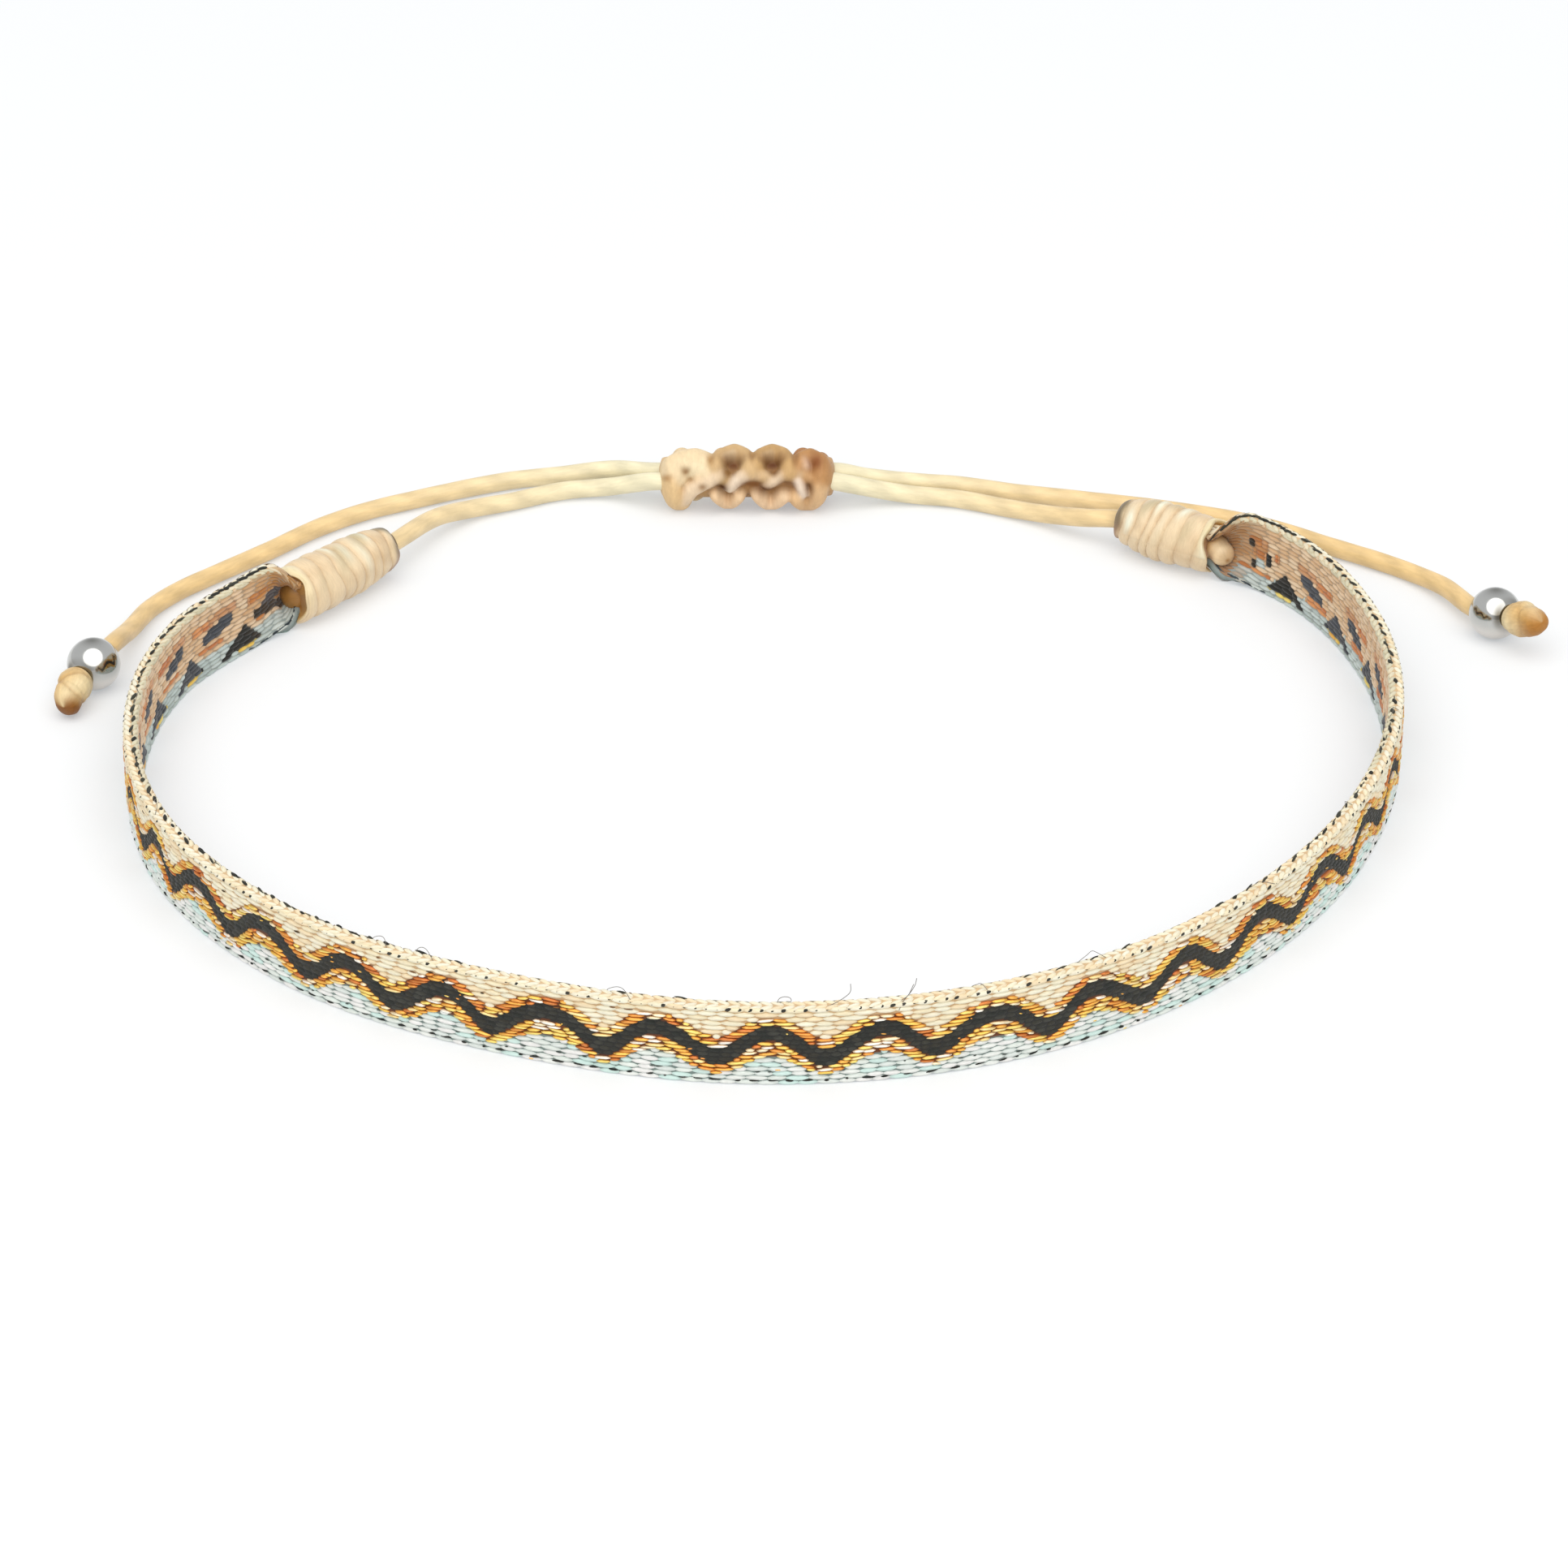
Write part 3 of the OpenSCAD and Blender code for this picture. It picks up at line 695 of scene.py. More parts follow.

# Core of the ribbon, seen only between the floats, with the outer kinds' ground colours,
# darkened as painted shade in the gaps
outer_gap_shade = linear([(220, 182, 136), (116, 62, 26), (40, 40, 37), (116, 62, 26),
                       (132, 148, 142)])
s_core = np.arange(lengths[0], lengths[-1], 0.16)
ACROSS = 43
h_core = np.linspace(0.03, BAND_W - 0.03, ACROSS)
ring_h = np.concatenate([h_core, h_core[::-1]])
ring_d = np.repeat([1, -1], ACROSS) * (BAND_T / 2 - 0.07)
ring_d[[0, ACROSS - 1, ACROSS, -1]] *= 0.6
S, H = np.meshgrid(s_core, ring_h, indexing="ij")
core = ribbon(S, H, np.broadcast_to(ring_d, S.shape))
core_tint = outer_gap_shade[outer_kind(S, H)]
core_tint[:, ACROSS:] = inner_gap_shade[inner_kind(S[:, ACROSS:], H[:, ACROSS:])]
core_tint[:, ACROSS - 3:ACROSS + 3] = linear((226, 190, 142))
capped_piece("ribbon_core", core, core_tint, (core_tint[0, 0], core_tint[-1, 0]), S, H, yarn,
             "band")

# Top edge: a chain of cream stitches, paler on the inner side within FRONT_REACH and duller
# beyond it as painted shade, and a line of black thread. It has no gaps NEAR_MOUTH, and
# starts BARE_MOUTH from the left mouth
edge, specks = Grains(), Grains()
STITCH, FRONT_REACH, NEAR_MOUTH, BARE_MOUTH = 0.54, 42, 6, 1.3
for s in np.arange(S_FROM - 0.5, S_TO + 0.4, STITCH):
    lean = rng.uniform(-0.05, 0.05)
    browned = 0.9 * smooth((2.0 - min(s - S_FROM, S_TO - s)) / 1.4)
    for side in (1, -1):
        # beyond FRONT_REACH the inner side takes the duller ivory: painted shade
        tone = pick(PALETTE[CREAM] if side > 0 or abs(s) < FRONT_REACH
                    else INNER_PALETTE[IVORY])
        edge.add(s - 0.12, BAND_W - 0.07, side * 0.19, 0.4, 0.17, 0.1,
                 mix(tone, mouth_wax(s), browned), side * -0.42 + lean, TOP)
    big = rng.random() < 0.38
    size = rng.uniform(0.12, 0.18) if big else rng.uniform(0.05, 0.09)
    specks.add(s + 0.17, BAND_W - 0.1, LAY + 0.035, size, size * 0.6, 0.07,
               pick(PALETTE[BLACK] if big else [(86, 72, 54), (64, 56, 46)]), 0.3)
s = S_FROM - 0.4
while s < S_TO + 0.3:
    far = min(s - S_FROM, S_TO - s)
    busy = np.interp(far, [20, 40, 55, 70], [1, 0.85, 0.35, 0.15])
    thick = np.interp(far, [4, 12, 30, 60], [0.13, 0.11, 0.09, 0.055])
    place = np.interp(far, [0, 8, 18, 30, 45], [0.1, 0.05, -0.06, -0.14, -0.26])
    close = far < NEAR_MOUTH
    size = rng.uniform(0.3, 1.0 if close else 0.85)
    lean = (0.25 if s < 0 else -0.25) * rng.uniform(0.2, 1.4)
    if rng.random() < busy and s - S_FROM > BARE_MOUTH:
        loose = 0.04 if close else 0.09
        specks.add(s + size / 2, BAND_W + 0.01, place + rng.uniform(-loose, loose), size / 2,
                   thick * rng.uniform(0.75, 1.5), 0.07, pick([(50, 50, 44), (66, 66, 56)]),
                   lean, TOP)
        if far < 45 and rng.random() < 0.5:
            specks.add(s + size + 0.1, BAND_W + 0.01, place, 0.25, thick * 0.45, 0.05,
                       pick([(86, 84, 70), (120, 114, 92)]), 0, TOP)
    s += size * 0.9 if close else size + rng.uniform(0.28, 0.6)

# A dark line along the ribbon's inner foot where it turns up into a whipping
for end, way in ((S_FROM, 1), (S_TO, -1)):
    for k in range(9):
        specks.add(end + way * (0.1 + 0.44 * k), 0.14, -LAY - 0.04, 0.36, 0.1 - 0.006 * k, 0.05,
                   pick([(76, 86, 92), (58, 66, 72)]), 0, INNER)

# Black thread that shows along the lowest rows, and a little in the cream
s = S_FROM
while s < S_TO:
    specks.add(s, 0.27 + rng.uniform(-0.04, 0.04), LAY + 0.05, rng.uniform(0.07, 0.34), 0.06,
               0.06, pick([(40, 42, 38), (54, 54, 48)]), rng.uniform(-0.05, 0.25))
    if rng.random() < 0.6:
        specks.add(s + rng.uniform(-0.4, 0.4), ROW * rng.integers(2, 5), LAY + 0.05,
                   rng.uniform(0.06, 0.2), 0.035, 0.05, pick([(96, 104, 98), (70, 76, 70)]),
                   rng.uniform(-0.1, 0.2))
    if rng.random() < 0.22:
        specks.add(s, BAND_W - ROW * rng.integers(2, 5), LAY + 0.05, rng.uniform(0.1, 0.25),
                   0.035, 0.05, pick([(70, 54, 34), (140, 96, 56)]), rng.uniform(-0.1, 0.1))
    s += rng.uniform(0.7, 1.3)
edge.build("edge_stitches", yarn, "woven_ribbon")
specks.build("black_thread", matt, "woven_ribbon", nu=6, nv=4, rim=(0.9, 0.9, 0.9))

# A few stray fibres along the upper edge. Those by the middle are rows of points of place,
# height over the edge and depth
FIBRES = [
    [(-0.25, 0, -0.2), (-0.15, 0.25, -0.2), (0.1, 0.4, -0.15), (0.4, 0.36, -0.1),
     (0.45, 0.16, -0.1), (0.2, 0.12, -0.15)],
    [(1.85, -0.1, 0.3), (2.4, 0.0, 0.1), (3.1, 0.35, 0), (3.4, 0.6, -0.1), (3.42, 1.0, -0.2)],
    [(5.75, -0.4, 0.42), (6.0, 0.05, 0.3), (6.4, 0.4, 0.1), (6.65, 0.75, 0), (6.75, 1.05, -0.1)],
    [(5.9, 0.1, 0.3), (6.25, 0.3, 0.2), (6.55, 0.85, 0.1)],
]
strays = [(ribbon(line[:, 0], BAND_W + line[:, 1], line[:, 2]), 0.018)
          for line, _ in (smooth_line(row, 0.05) for row in FIBRES)]
for s in (-22.0, -19.4, -9.0, 9.6, 15.5, 27.0, 36.5, 47.0, -41.0, -52.5):
    k = np.linspace(0, 1, 26)
    reach, bend = rng.uniform(0.6, 1.9), rng.uniform(-5, 5)
    along = s + reach * k + 0.12 * np.sin(bend * k + 1)
    up = BAND_W - 0.02 + rng.uniform(0.15, 0.55) * np.sin(math.pi * k ** 0.8) * (1 + 0.3 * k)
    aside = -0.3 + rng.uniform(0.1, 0.7) * k + 0.1 * np.sin(7 * k)
    strays.append((ribbon(along, up, aside), 0.016))
points, faces, lie, base = [], [], [], 0
for line, wide in strays:
    p, f = capped(tube(line, wide, sides=5))
    points.append(p)
    faces += [[v + base for v in q] for q in f]
    lie.append(np.column_stack([np.arange(len(p)) * 0.1, np.zeros((len(p), 2))]))
    base += len(p)
piece("stray_fibres", np.vstack(points), faces, np.tile(linear((120, 112, 104)), (base, 1)),
      np.vstack(lie), yarn)

# Whippings
whip_wax = thread_material("whipping_thread", 0.5, 0.1, 0.4, sheen=0.15, grain=(2, 10, 4),
                           gloss=0.4)


def whipping(name, axis, turns, seed, node_name):
    """Turns of thread wound round a ribbon's end, closed by wax in the mouth."""
    r = np.random.default_rng(seed)
    nx, na = 170, 96
    length = axis[2]
    t = np.linspace(0, 1, nx)
    a = TAU * np.arange(na) / na
    T, A = np.meshgrid(t, a, indexing="ij")
    # each turn has its own width, height and slant
    edges = np.concatenate([[0], np.cumsum(r.uniform(0.6, 1.4, turns + 3))])
    edges = edges / edges[turns]
    skewed = T + 0.03 * np.sin(A + 0.7) + 0.014 * np.sin(2 * A + 9 * T) + 0.008 * np.sin(3 * A)
    phase = np.interp(skewed + 0.045, edges, np.arange(turns + 4)) + A / TAU
    turn = np.floor(phase).astype(int)
    u = phase - turn
    ridge = np.sqrt(unit(1 - (2 * u - 1) ** 2))
    level = r.uniform(-1, 1, turns + 6)[turn]
    ax = heading(axis[1])
    out = np.array([-ax[1], ax[0]])
    # lit strands, each on its own stretch of the side that faces the front
    front = 0.0 if out[1] < 0 else math.pi
    lift = 0.4 if front == 0 else -0.4
    middle = front + lift * math.pi + r.uniform(-0.7, 0.5, turns + 6)
    spread = r.uniform(0.35, 0.8, turns + 6)
    shine = unit(r.uniform(-0.3, 1.1, turns + 6))
    off = (A - middle[turn] + math.pi) % TAU - math.pi
    lit = shine[turn] * np.exp(-(off / spread[turn]) ** 2) * np.exp(-((u - 0.45) / 0.26) ** 2)
    radius = whip_r(T) - 0.15 * (1 - ridge) + 0.05 * level * ridge + 0.03 * lit
    radius += 0.03 * np.sin(2 * A + 5 * T) + 0.025 * np.sin(5 * A + 11 * T + level) - 0.09
    radius[0] -= 0.05
    lip = 0.16 * np.sin(2 * a + 1.1 * seed) + 0.1 * np.sin(5 * a + seed)
    base_c, high_c, low_c = linear([(249, 222, 180), (255, 251, 224), (214, 178, 132)])
    dark_c, gold_c = linear((104, 84, 54)), linear((255, 238, 190))
    shade = (0.45 * (1 - ridge) + 0.3 * unit(-level) + 0.14 * np.sin(3 * A + 8 * T)
             + 0.12 * np.sin(7 * A - 13 * T + 2 * level))
    tint = mix(base_c, low_c, unit(shade)[..., None])
    tint = mix(tint, high_c, unit(lit * 1.2)[..., None])
    # grey patches of painted shade on the top, a yellow painted highlight at the mouth's top, and
    # dark where the end is melted
    top_shade = unit(np.sin(1.7 * A + 17 * T + 3) * np.sin(9 * T - A))
    top_shade = top_shade * unit(np.sin(A))
    tint = mix(tint, linear((206, 188, 146)), top_shade[..., None] * 0.8)
    # painted highlight at the mouth's top
    top = unit(0.35 + 0.65 * np.sin(A))
    tint = mix(tint, gold_c, (np.exp(-((T - 0.02) / 0.05) ** 2) * top * 0.8)[..., None])
    rim = smooth((T - 0.9 + 0.02 * np.sin(A * 2) + 0.012 * np.sin(A * 5)) / 0.07)
    # the melted rim, darker on top with painted shade
    burnt = mix(linear((158, 104, 62)), dark_c, smooth(0.5 + 0.9 * np.sin(A))[..., None])
    tint = mix(tint, burnt, rim[..., None] * 0.85)
    bore = np.full(na, whip_r(0) - WHIP_WALL)
    amber_c = linear((200, 148, 72))
    wax_c = mouth_wax(axis[0][0])
    lump = 0.08 * np.sin(3 * a + seed) + 0.05 * np.sin(7 * a)
    rows = [(0.35, np.full(na, CORD_R - 0.05), wax_c), (0.12 + lump, bore * 0.7, wax_c),
            (0.1 + lip, bore + 0.05, amber_c), (lip - 0.04, bore + 0.2, mix(amber_c, gold_c, 0.6))]

    def ring(x, rad):
        flat_pos = on_axis(axis, x) + out * (np.cos(a) * rad)[:, None]
        return np.column_stack([flat_pos, WHIP_Z + np.sin(a) * rad])

    rings = [ring(x, rad) for x, rad, _ in rows]
    rings += [ring(t[i] * length + lip * max(0, 1 - t[i] / 0.08), radius[i]) for i in range(nx)]
    end = radius[-1]
    rings += [ring(length + 0.02, end - 0.14), ring(length - 0.02, np.full(na, CORD_R + 0.03))]
    tints = [np.tile(c, (na, 1)) for _, _, c in rows] + list(tint)
    tints += [np.tile(dark_c, (na, 1)), np.tile(dark_c * 0.6, (na, 1))]
    rings, tints = np.array(rings), np.array(tints)
    xs = np.concatenate([[0] * len(rows), t * length, [length, length]])
    lie = np.stack(np.broadcast_arrays(a[None, :] * 1.6, xs[:, None], 0.0), -1)
    return piece(name, rings, grid_faces(len(rings), na, True), tints, lie, whip_wax,
                 (node_name,))


whipping("whipping_left", axes[0], 9, 3, "whip_left")
whipping("whipping_right", axes[1], 7, 5, "whip_right")

# Sliding knot: square knots drawn tight and waxed, as one closed skin over its strands.
# A strand is a row of half-width, reach from the axis, colour, and points of place along
# the knot and height over its middle, both as seen from the front
knot_wax = thread_material("knot_cord", 0.5, 0.1, 0.25, sheen=0.05, grain=(4, 2.2, 4), gloss=0.2)
# The side drawn by the rows faces this many degrees over level
FACING = 30
KNOT_R = KNOT_D / 2
STRANDS = [
    (0.95, 1.86, (253, 226, 182),
     [(-4.35, -0.1), (-4.25, 0.8), (-3.7, 1.35), (-3.1, 1.5), (-2.5, 1.1)]),
    (0.75, 1.78, (255, 234, 192), [(-3.9, 0.6), (-3.0, 0.6), (-2.5, 0.35)]),
    (0.72, 2.02, (246, 208, 152), [(-4.55, -0.7), (-4.4, -1.4), (-4.2, -1.87), (-3.9, -1.87)]),
    (0.58, 1.84, (250, 222, 186),
     [(-3.7, -1.75), (-3.3, -1.15), (-2.6, -0.65), (-1.9, -0.2), (-1.5, 0.1)]),
    (0.42, 1.70, (244, 212, 168), [(-2.9, -0.25), (-2.3, 0.1), (-1.8, 0.5)]),
    (0.68, 2.02, (228, 190, 136),
     [(-1.85, 0.7), (-1.5, 1.35), (-0.75, 1.76), (-0.1, 1.4), (0.15, 0.9), (0.2, 0.4)]),
    # painted highlight on the top of the arch
    (0.28, 2.03, (248, 216, 170), [(-1.35, 1.2), (-0.8, 1.42)]),
    (0.60, 1.70, (200, 160, 98), [(-1.95, 0.75), (-1.7, 0.2), (-1.35, -0.4)]),
    # painted highlight on the crossing strand
    (0.50, 1.82, (250, 226, 198), [(-1.05, -0.9), (-0.65, -0.45), (-0.15, -0.02)]),
    (0.50, 1.76, (228, 194, 150), [(-0.3, -0.05), (0.4, 0.05), (1.2, -0.1)]),
    (0.46, 1.98, (246, 208, 164), [(-1.85, -1.45), (-1.3, -1.84), (-0.9, -1.84), (-0.45, -1.5)]),
    (0.68, 2.02, (218, 176, 118),
     [(0.5, 0.85), (0.85, 1.4), (1.5, 1.76), (2.1, 1.5), (2.45, 0.9), (2.5, 0.2)]),
    # painted highlight on the top of the arch
    (0.28, 2.03, (236, 202, 152), [(0.95, 1.25), (1.45, 1.42)]),
    (0.52, 1.70, (210, 168, 110), [(0.45, 0.8), (0.65, 0.3), (1.0, -0.2)]),
    # painted highlight on the crossing strand
    (0.46, 1.80, (242, 214, 180), [(1.2, -0.8), (1.6, -0.4), (2.05, 0.0)]),
    (0.48, 1.74, (224, 188, 146), [(2.0, 0.0), (2.6, 0.2), (3.1, 0.1)]),
    (0.50, 2.02, (250, 212, 170), [(0.65, -1.45), (1.15, -1.85), (1.65, -1.85), (2.2, -1.5)]),
    (0.68, 1.92, (200, 148, 94),
     [(3.0, 0.7), (3.25, 1.25), (3.75, 1.5), (4.3, 1.1), (4.45, 0.35), (4.35, -0.5)]),
    # painted highlight on the arch
    (0.42, 1.84, (236, 198, 166), [(3.4, 0.95), (3.5, 0.65)]),
    (0.50, 1.70, (210, 162, 110), [(3.4, 0.35), (3.6, -0.15), (4.0, -0.5)]),
    # painted highlight on the crossing strand
    (0.40, 1.82, (252, 228, 204), [(3.0, -0.45), (3.2, -0.9), (3.4, -1.3)]),
    (0.62, 2.04, (236, 194, 144),
     [(4.3, -0.9), (4.2, -1.6), (3.8, -1.87), (3.3, -1.87), (2.95, -1.6)]),
]
# Hollows between strands, dented in and darkened with painted shade: place, height,
# half-widths along and up, depth, how much they narrow downward, colour
SHADED_HOLLOWS = [
    (-3.62, 0.22, 0.26, 0.26, 0.16, 0.3, (150, 108, 62)),
    (-2.63, -0.77, 0.24, 0.20, 0.12, 0, (168, 128, 86)),
    (-4.75, -0.2, 0.35, 0.22, 0.10, 0, (190, 146, 94)),
    (-2.15, 0.95, 0.20, 0.40, 0.12, 0, (186, 142, 88)),
    (-0.85, 0.80, 0.56, 0.50, 0.42, 0.75, (104, 54, 10)),
    (-1.15, 0.20, 0.34, 0.50, 0.16, 0.3, (150, 108, 58)),
    (-1.45, -0.95, 0.32, 0.34, 0.26, 0.2, (104, 60, 20)),
    (0.30, 1.15, 0.16, 0.40, 0.14, 0, (178, 134, 82)),
    (1.52, 0.85, 0.66, 0.50, 0.42, 0.7, (102, 52, 10)),
    (1.60, 0.25, 0.34, 0.36, 0.16, 0.3, (150, 106, 60)),
    (0.35, -0.72, 0.66, 0.28, 0.20, 0, (138, 86, 38)),
    (1.10, -1.05, 0.60, 0.26, 0.20, 0, (122, 74, 30)),
    (2.45, -0.70, 0.40, 0.32, 0.14, 0, (154, 110, 68)),
    (2.85, 0.95, 0.18, 0.45, 0.16, 0, (170, 124, 76)),
    (4.10, 0.80, 0.42, 0.50, 0.10, 0, (146, 86, 42)),
    (3.72, -0.90, 0.22, 0.42, 0.14, 0, (146, 102, 60)),
]


def knot_skin():
    nx, na, blend = 230, 192, 10
    half = KNOT_LEN / 2 + 0.32
    x = np.linspace(-half, half, nx)
    a = np.linspace(-180, 180, na, endpoint=False)
    X, A = np.meshgrid(x, a, indexing="ij")
    around = math.radians(KNOT_R * 0.85)

    def turn_of(up):
        return math.degrees(math.asin(max(-1, min(1, up / KNOT_R / 1.01))))

    rows = [(w, top, tone, [(px, turn_of(up)) for px, up in line])
            for w, top, tone, line in STRANDS]
    # behind, out of the picture, the same turns go on
    for k, tone in enumerate(((246, 218, 172), (234, 196, 144), (218, 176, 122), (190, 136, 88))):
        mid = -3.4 + 2.4 * k
        rows += [
            (0.6, 1.72, tone, [(mid - 0.5, 84), (mid - 0.2, 130), (mid + 0.3, 175)]),
            (0.6, 1.70, tone, [(mid + 0.2, 180), (mid - 0.4, 210), (mid - 0.6, 232)]),
            (0.55, 1.66, tone, [(mid + 0.6, 120), (mid + 1.0, 170), (mid + 0.7, 215),
                                (mid + 0.3, 236)]),
        ]
    end = unit((half - np.abs(X)) / 1.2)
    round_in = np.sqrt(1 - (1 - end) ** 2)
    base = 1.0 + 0.22 * round_in
    total = np.exp(blend * base)
    at = (X + half) / (2 * half)
    marks = linear([(240, 206, 156), (202, 160, 106), (182, 138, 88), (184, 138, 88),
                    (214, 172, 126)])
    tones = np.stack([np.interp(at, (0, 0.25, 0.5, 0.8, 1), marks[:, c]) for c in range(3)], -1)
    tones *= total[..., None]
    for wide, top, tone, points in rows:
        line = np.array(points, float) * (1, around)
        near = np.full(X.shape, 9.0)
        for p, q in zip(line[:-1], line[1:]):
            for lap in (-360, 0, 360):
                to = np.stack([X, (A + lap) * around], -1) - p
                share = unit((to @ (q - p)) / ((q - p) @ (q - p)))
                near = np.minimum(near, np.linalg.norm(to - share[..., None] * (q - p), axis=-1))
        rise = 1.0 + (top - 1.0) * np.sqrt(unit(1 - (near / wide) ** 2))
        weight = np.exp(blend * rise) * (near < wide)
        total += weight
        tones += weight[..., None] * linear(tone)
    reach = np.log(total) / blend
    tones /= total[..., None]

    def blurred(field, times):
        for _ in range(times):
            field = (field + np.roll(field, 1, 1) + np.roll(field, -1, 1)
                     + np.concatenate([field[:1], field[:-1]])
                     + np.concatenate([field[1:], field[-1:]])) / 5
        return field

    # painted shade in the creases and a painted highlight on the proud strands
    proud = np.clip((reach - blurred(reach, 10)) / 0.12, -1, 1)[..., None]
    tones = mix(tones, tones * np.array([0.74, 0.66, 0.56]), unit(-proud))
    tones = mix(tones, np.minimum(tones * 1.12 + 0.04, 1), unit(proud) * 0.6)
    # each hollow dents the skin and is painted dark as shade
    for px, up, wx, wu, depth, taper, tone in SHADED_HOLLOWS:
        du = (KNOT_R * np.sin(np.radians(A)) - up) / wu
        dx = (X - px) / (wx * np.clip(1 + taper * du, 0.3, 1.6))
        dent = np.exp(-(dx * dx + du * du)) * (np.abs(A) < 90)
        reach = reach - depth * dent
        tones = mix(tones, linear(tone), unit(dent * 1.1)[..., None])
    tones = blurred(tones, 6)
    # the cords inside stay covered, and the ends draw in
    floor = mix(0.9, 1.24, smooth(end))
    reach = blurred(np.minimum(np.maximum(reach, floor), 0.35 + 1.7 * round_in), 4)
    # flat where it rests
    down = np.cos(np.radians(A + FACING + 90))
    reach = np.minimum(reach, np.where(down > 0.3, (KNOT_R - 0.02) / np.maximum(down, 0.3), 9))
    turn = np.radians(A + FACING)
    place = np.stack([X + knot_mid[0], knot_mid[1] - reach * np.cos(turn),
                      KNOT_Z + reach * np.sin(turn)], -1)
    capped_piece("slide_knot_strands", place, tones, linear([(236, 204, 156), (222, 184, 138)]),
                 X, np.radians(A) * 1.5, knot_wax, "slide_knot", turned=-1)


knot_skin()

# Beads: polished steel balls with a rounded bore edge
def wire_steel(nodes, shader):
    tone, fine = cloudy(nodes, 900.0, (0.92, 0.92, 0.92), (1, 1, 1))
    tint = node(nodes, "Attribute", attribute_name="tint")
    both = node(nodes, "VectorMath", operation="MULTIPLY", Vector=tint.outputs["Color"])
    shader.id_data.links.new(tone, both.inputs[1])
    rub = node(nodes, "MapRange", To_Min=0.08, To_Max=0.2, Value=fine)
    put(shader, Base_Color=both.outputs[0], Roughness=rub.outputs["Result"], Metallic=1.0)


steel = material("polished_steel", wire_steel)


def bead_frame(bead):
    """Ways along a bead's bore, and level and upward across it."""
    way = bead_way(bead)
    side = np.cross(way, (0, 0, 1))
    side /= np.linalg.norm(side)
    return way, side, np.cross(side, way)


def bead_piece(name, bead, node_name):
    sides = 56
    half = math.acos(BEAD_BORE / BEAD_D)
    lat = np.linspace(-half, half, 41)
    outline = [(BEAD_D / 2 * math.sin(v), BEAD_D / 2 * math.cos(v)) for v in lat]
    end = outline[-1][0]
    for x, r in ((end, BEAD_BORE / 2 - 0.03), (end - 0.08, BEAD_BORE / 2 - 0.05)):
        outline.append((x, r))
        outline.insert(0, (-x, r))
    outline.append(outline[0])
    way, side, top = bead_frame(bead)
    a = TAU * np.arange(sides) / sides
    rings = np.array([
        bead_centre(bead) + way * x + np.outer(np.cos(a) * r, side)
        + np.outer(np.sin(a) * r, top) for x, r in outline])
    off = np.abs(np.array([x for x, _ in outline])) / (BEAD_D / 2)
    # dark patches by the bore ends: a painted reflection of the cord
    rim = smooth((off - 0.62) / 0.22)[:, None]
    cord_reflection = 0.5 + 0.5 * np.sin(a + 1.1)[None, :] * np.cos(2 * a - 0.4)[None, :]
    tint = mix(linear((228, 228, 224)), linear((120, 112, 96)), (rim * cord_reflection)[..., None])
    # a painted reflection: a dark spot near the top
    face = (rings - bead_centre(bead)) / (BEAD_D / 2)
    spot = np.exp(-(np.linalg.norm(face - (-0.02, 0.085, 0.99), axis=-1) / 0.34) ** 2)
    tint = mix(tint, linear((130, 128, 120)), 0.8 * spot[..., None])
    # the lower half paler: a painted reflection of the bright table
    tint = mix(tint, linear((255, 250, 244)), smooth(-face[..., 2:] / 0.5))
    return piece(name, rings, grid_faces(len(rings), sides, True)[:, ::-1], tint,
                 np.zeros_like(rings), steel, (node_name,))


steel_left = bead_piece("steel_bead_left", LEFT_BEAD, "bead_left")
steel_right = bead_piece("steel_bead_right", RIGHT_BEAD, "bead_right")

# End knots: an overhand knot drawn tight, with a melted tip. END_SWELL is its radius along
# it, as a share of END_D / 2
END_SWELL = np.array([
    (0, 0.66), (0.08, 0.88), (0.25, 1), (0.42, 0.98), (0.55, 0.84), (0.62, 0.87),
    (0.82, 0.78), (0.95, 0.56), (1, 0.3)])
tip_wax = thread_material("melted_knot", 0.45, 0.14, 0.35, grain=(2, 4, 3), gloss=0.25)


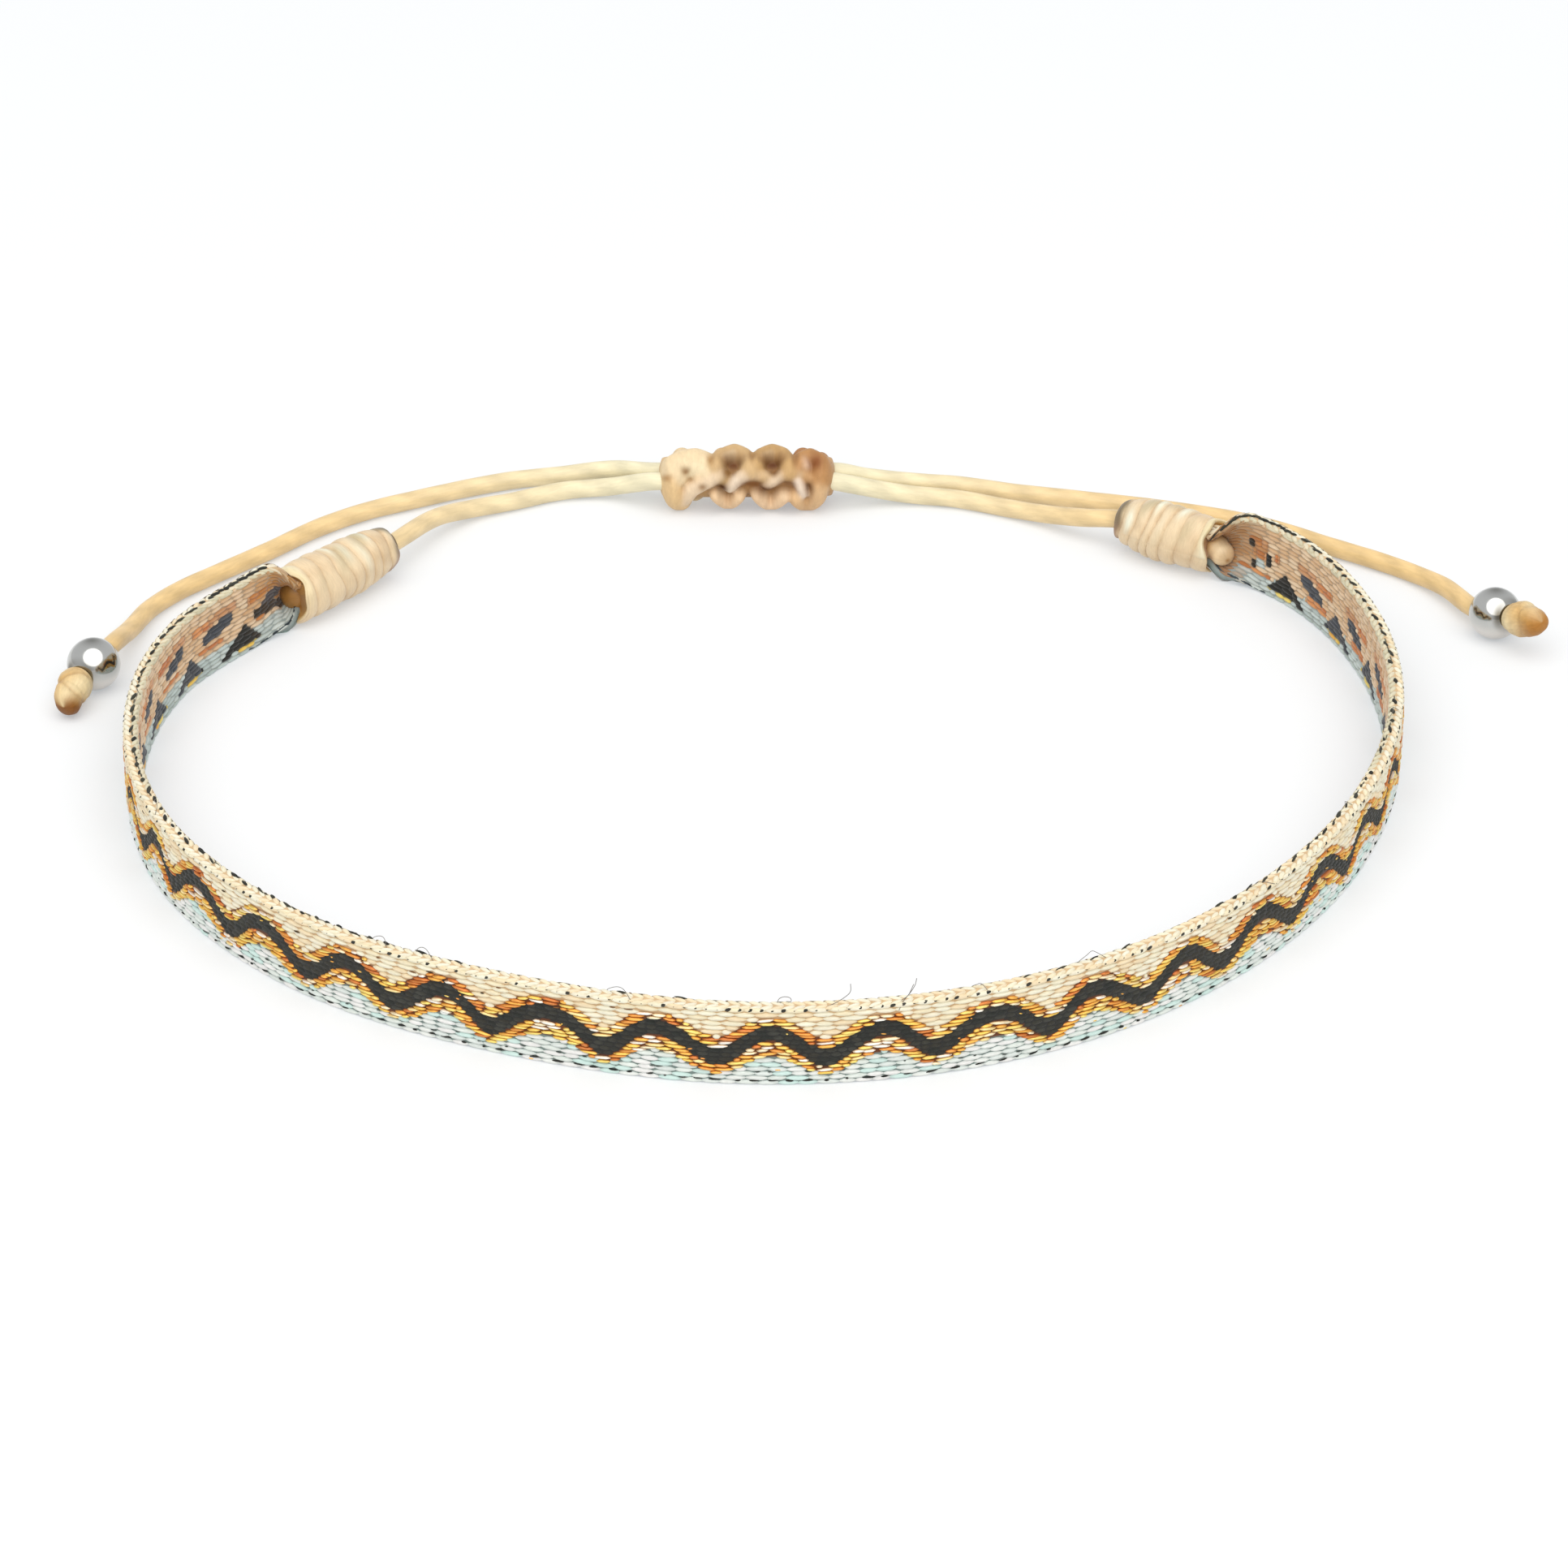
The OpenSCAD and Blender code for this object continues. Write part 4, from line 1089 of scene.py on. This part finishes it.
def tied_knot(name, bead, node_name, spin, shrink, cut_depth, neck, burnt_c, edge_at, soft, sag):
    """spin turns its marks about the bore, shrink scales it, cut_depth is how deep its creases
    are, neck narrows it by the bead, burnt_c, edge_at and soft are the burnt tip's colour,
    start and fade, and sag is how far the tip bends aside."""
    nx, na = 60, 56
    t = np.linspace(0, 1, nx)
    a = TAU * np.arange(na) / na + spin
    T, A = np.meshgrid(t, a, indexing="ij")
    rad = END_D / 2 * np.interp(T, *END_SWELL.T) * np.interp(T, [0, 0.14, 0.3], [neck, neck, 1])

    def groove(centre, slant, width, turn=0.0):
        """A soft groove that runs round the knot at a slant."""
        off = T - centre - slant * np.cos(A + turn)
        return np.exp(-(off / width) ** 2)

    cut = unit(groove(0.36, 0.26, 0.05) + 0.8 * groove(0.52, -0.2, 0.05, 0.9)
               + 0.5 * groove(0.2, 0.12, 0.04, 2.2))
    round_ = np.sin(math.pi * unit(T)) ** 0.5
    rad = rad * (1 + (0.06 * np.cos(2 * A + 5 * T) + 0.04 * np.cos(3 * A - 4 * T)) * round_)
    rad = rad * 0.96 * shrink - 0.13 * cut_depth * cut * round_
    rad[0], rad[-1] = 0.5, 0.12
    light_c, mid_c, brown = linear([(255, 234, 186), (228, 180, 106), burnt_c])
    tone = unit(0.7 + 0.35 * np.cos(2 * A - 0.6 + 4 * T) - 0.3 * T)[..., None]
    tint = mix(mid_c, light_c, tone)
    # painted shade in the creases
    tint = mix(tint, linear((176, 128, 72)), 0.7 * cut_depth * cut[..., None])
    level = T - 0.1 * np.cos(A) - 0.28 * np.sin(A) + 0.04 * np.cos(3 * A)
    burnt = smooth((level - edge_at) / soft)
    tint = mix(tint, brown, burnt[..., None] * 0.95)
    way, side, top = bead_frame(bead)
    centre = bead_centre(bead) + way * KNOT_SEAT
    rings = (centre + (t * END_LEN * shrink)[:, None, None] * way
             - (sag * t ** 1.5)[:, None, None] * side
             + (np.cos(A) * rad)[..., None] * side + (np.sin(A) * rad)[..., None] * top)
    return capped_piece(name, rings, tint, (mid_c, brown), T * END_LEN, A * END_D / 2, tip_wax,
                        node_name)


tied_left = tied_knot("tied_knot_left", LEFT_BEAD, "end_knot_left", 0.4, 1.0, 0.55, 1,
                      (140, 82, 20), 0.56, 0.42, 0.6)
tied_right = tied_knot("tied_knot_right", RIGHT_BEAD, "end_knot_right", 2.0, 0.95, 0.25, 0.95,
                       (188, 124, 46), 0.22, 0.8, 0.1)

for key, axis, bead, knot in (("left", axes[0], steel_right, tied_right),
                              ("right", axes[1], steel_left, tied_left)):
    cord, line, length = cords[key]

# Floor and light
def wire_floor(nodes, shader):
    tone, _ = cloudy(nodes, 6.0, (0.52, 0.512, 0.50), (0.53, 0.522, 0.51))
    put(shader, Base_Color=tone, Roughness=0.9, Specular_IOR_Level=0.1)
    # lit from below through the table, as product tables are
    put(shader, Emission_Color=(0.88, 0.94, 1.0, 1), Emission_Strength=0.35)


floor_mesh = bpy.data.meshes.new("floor")
floor_mesh.from_pydata([(-4, -4, 0), (4, -4, 0), (4, 4, 0), (-4, 4, 0)], [], [(0, 1, 2, 3)])
floor_mesh.materials.append(material("pale_floor", wire_floor))
floor = bpy.data.objects.new("floor", floor_mesh)
scene.collection.objects.link(floor)

world = bpy.data.worlds.new("studio")
world.use_nodes = True
put(world.node_tree.nodes["Background"], Color=(0.965, 0.98, 1.0, 1), Strength=0.78)
scene.world = world

lamp = bpy.data.lights.new("soft_box", "AREA")
lamp.shape = "DISK"
lamp.size = 0.95
lamp.energy = 3.8
lamp.color = (1.0, 0.985, 0.965)
soft_box = bpy.data.objects.new("soft_box", lamp)
soft_box.location = (0, -0.275, 0.476)
soft_box.rotation_euler = (-soft_box.location).to_track_quat("-Z", "Y").to_euler()
scene.collection.objects.link(soft_box)
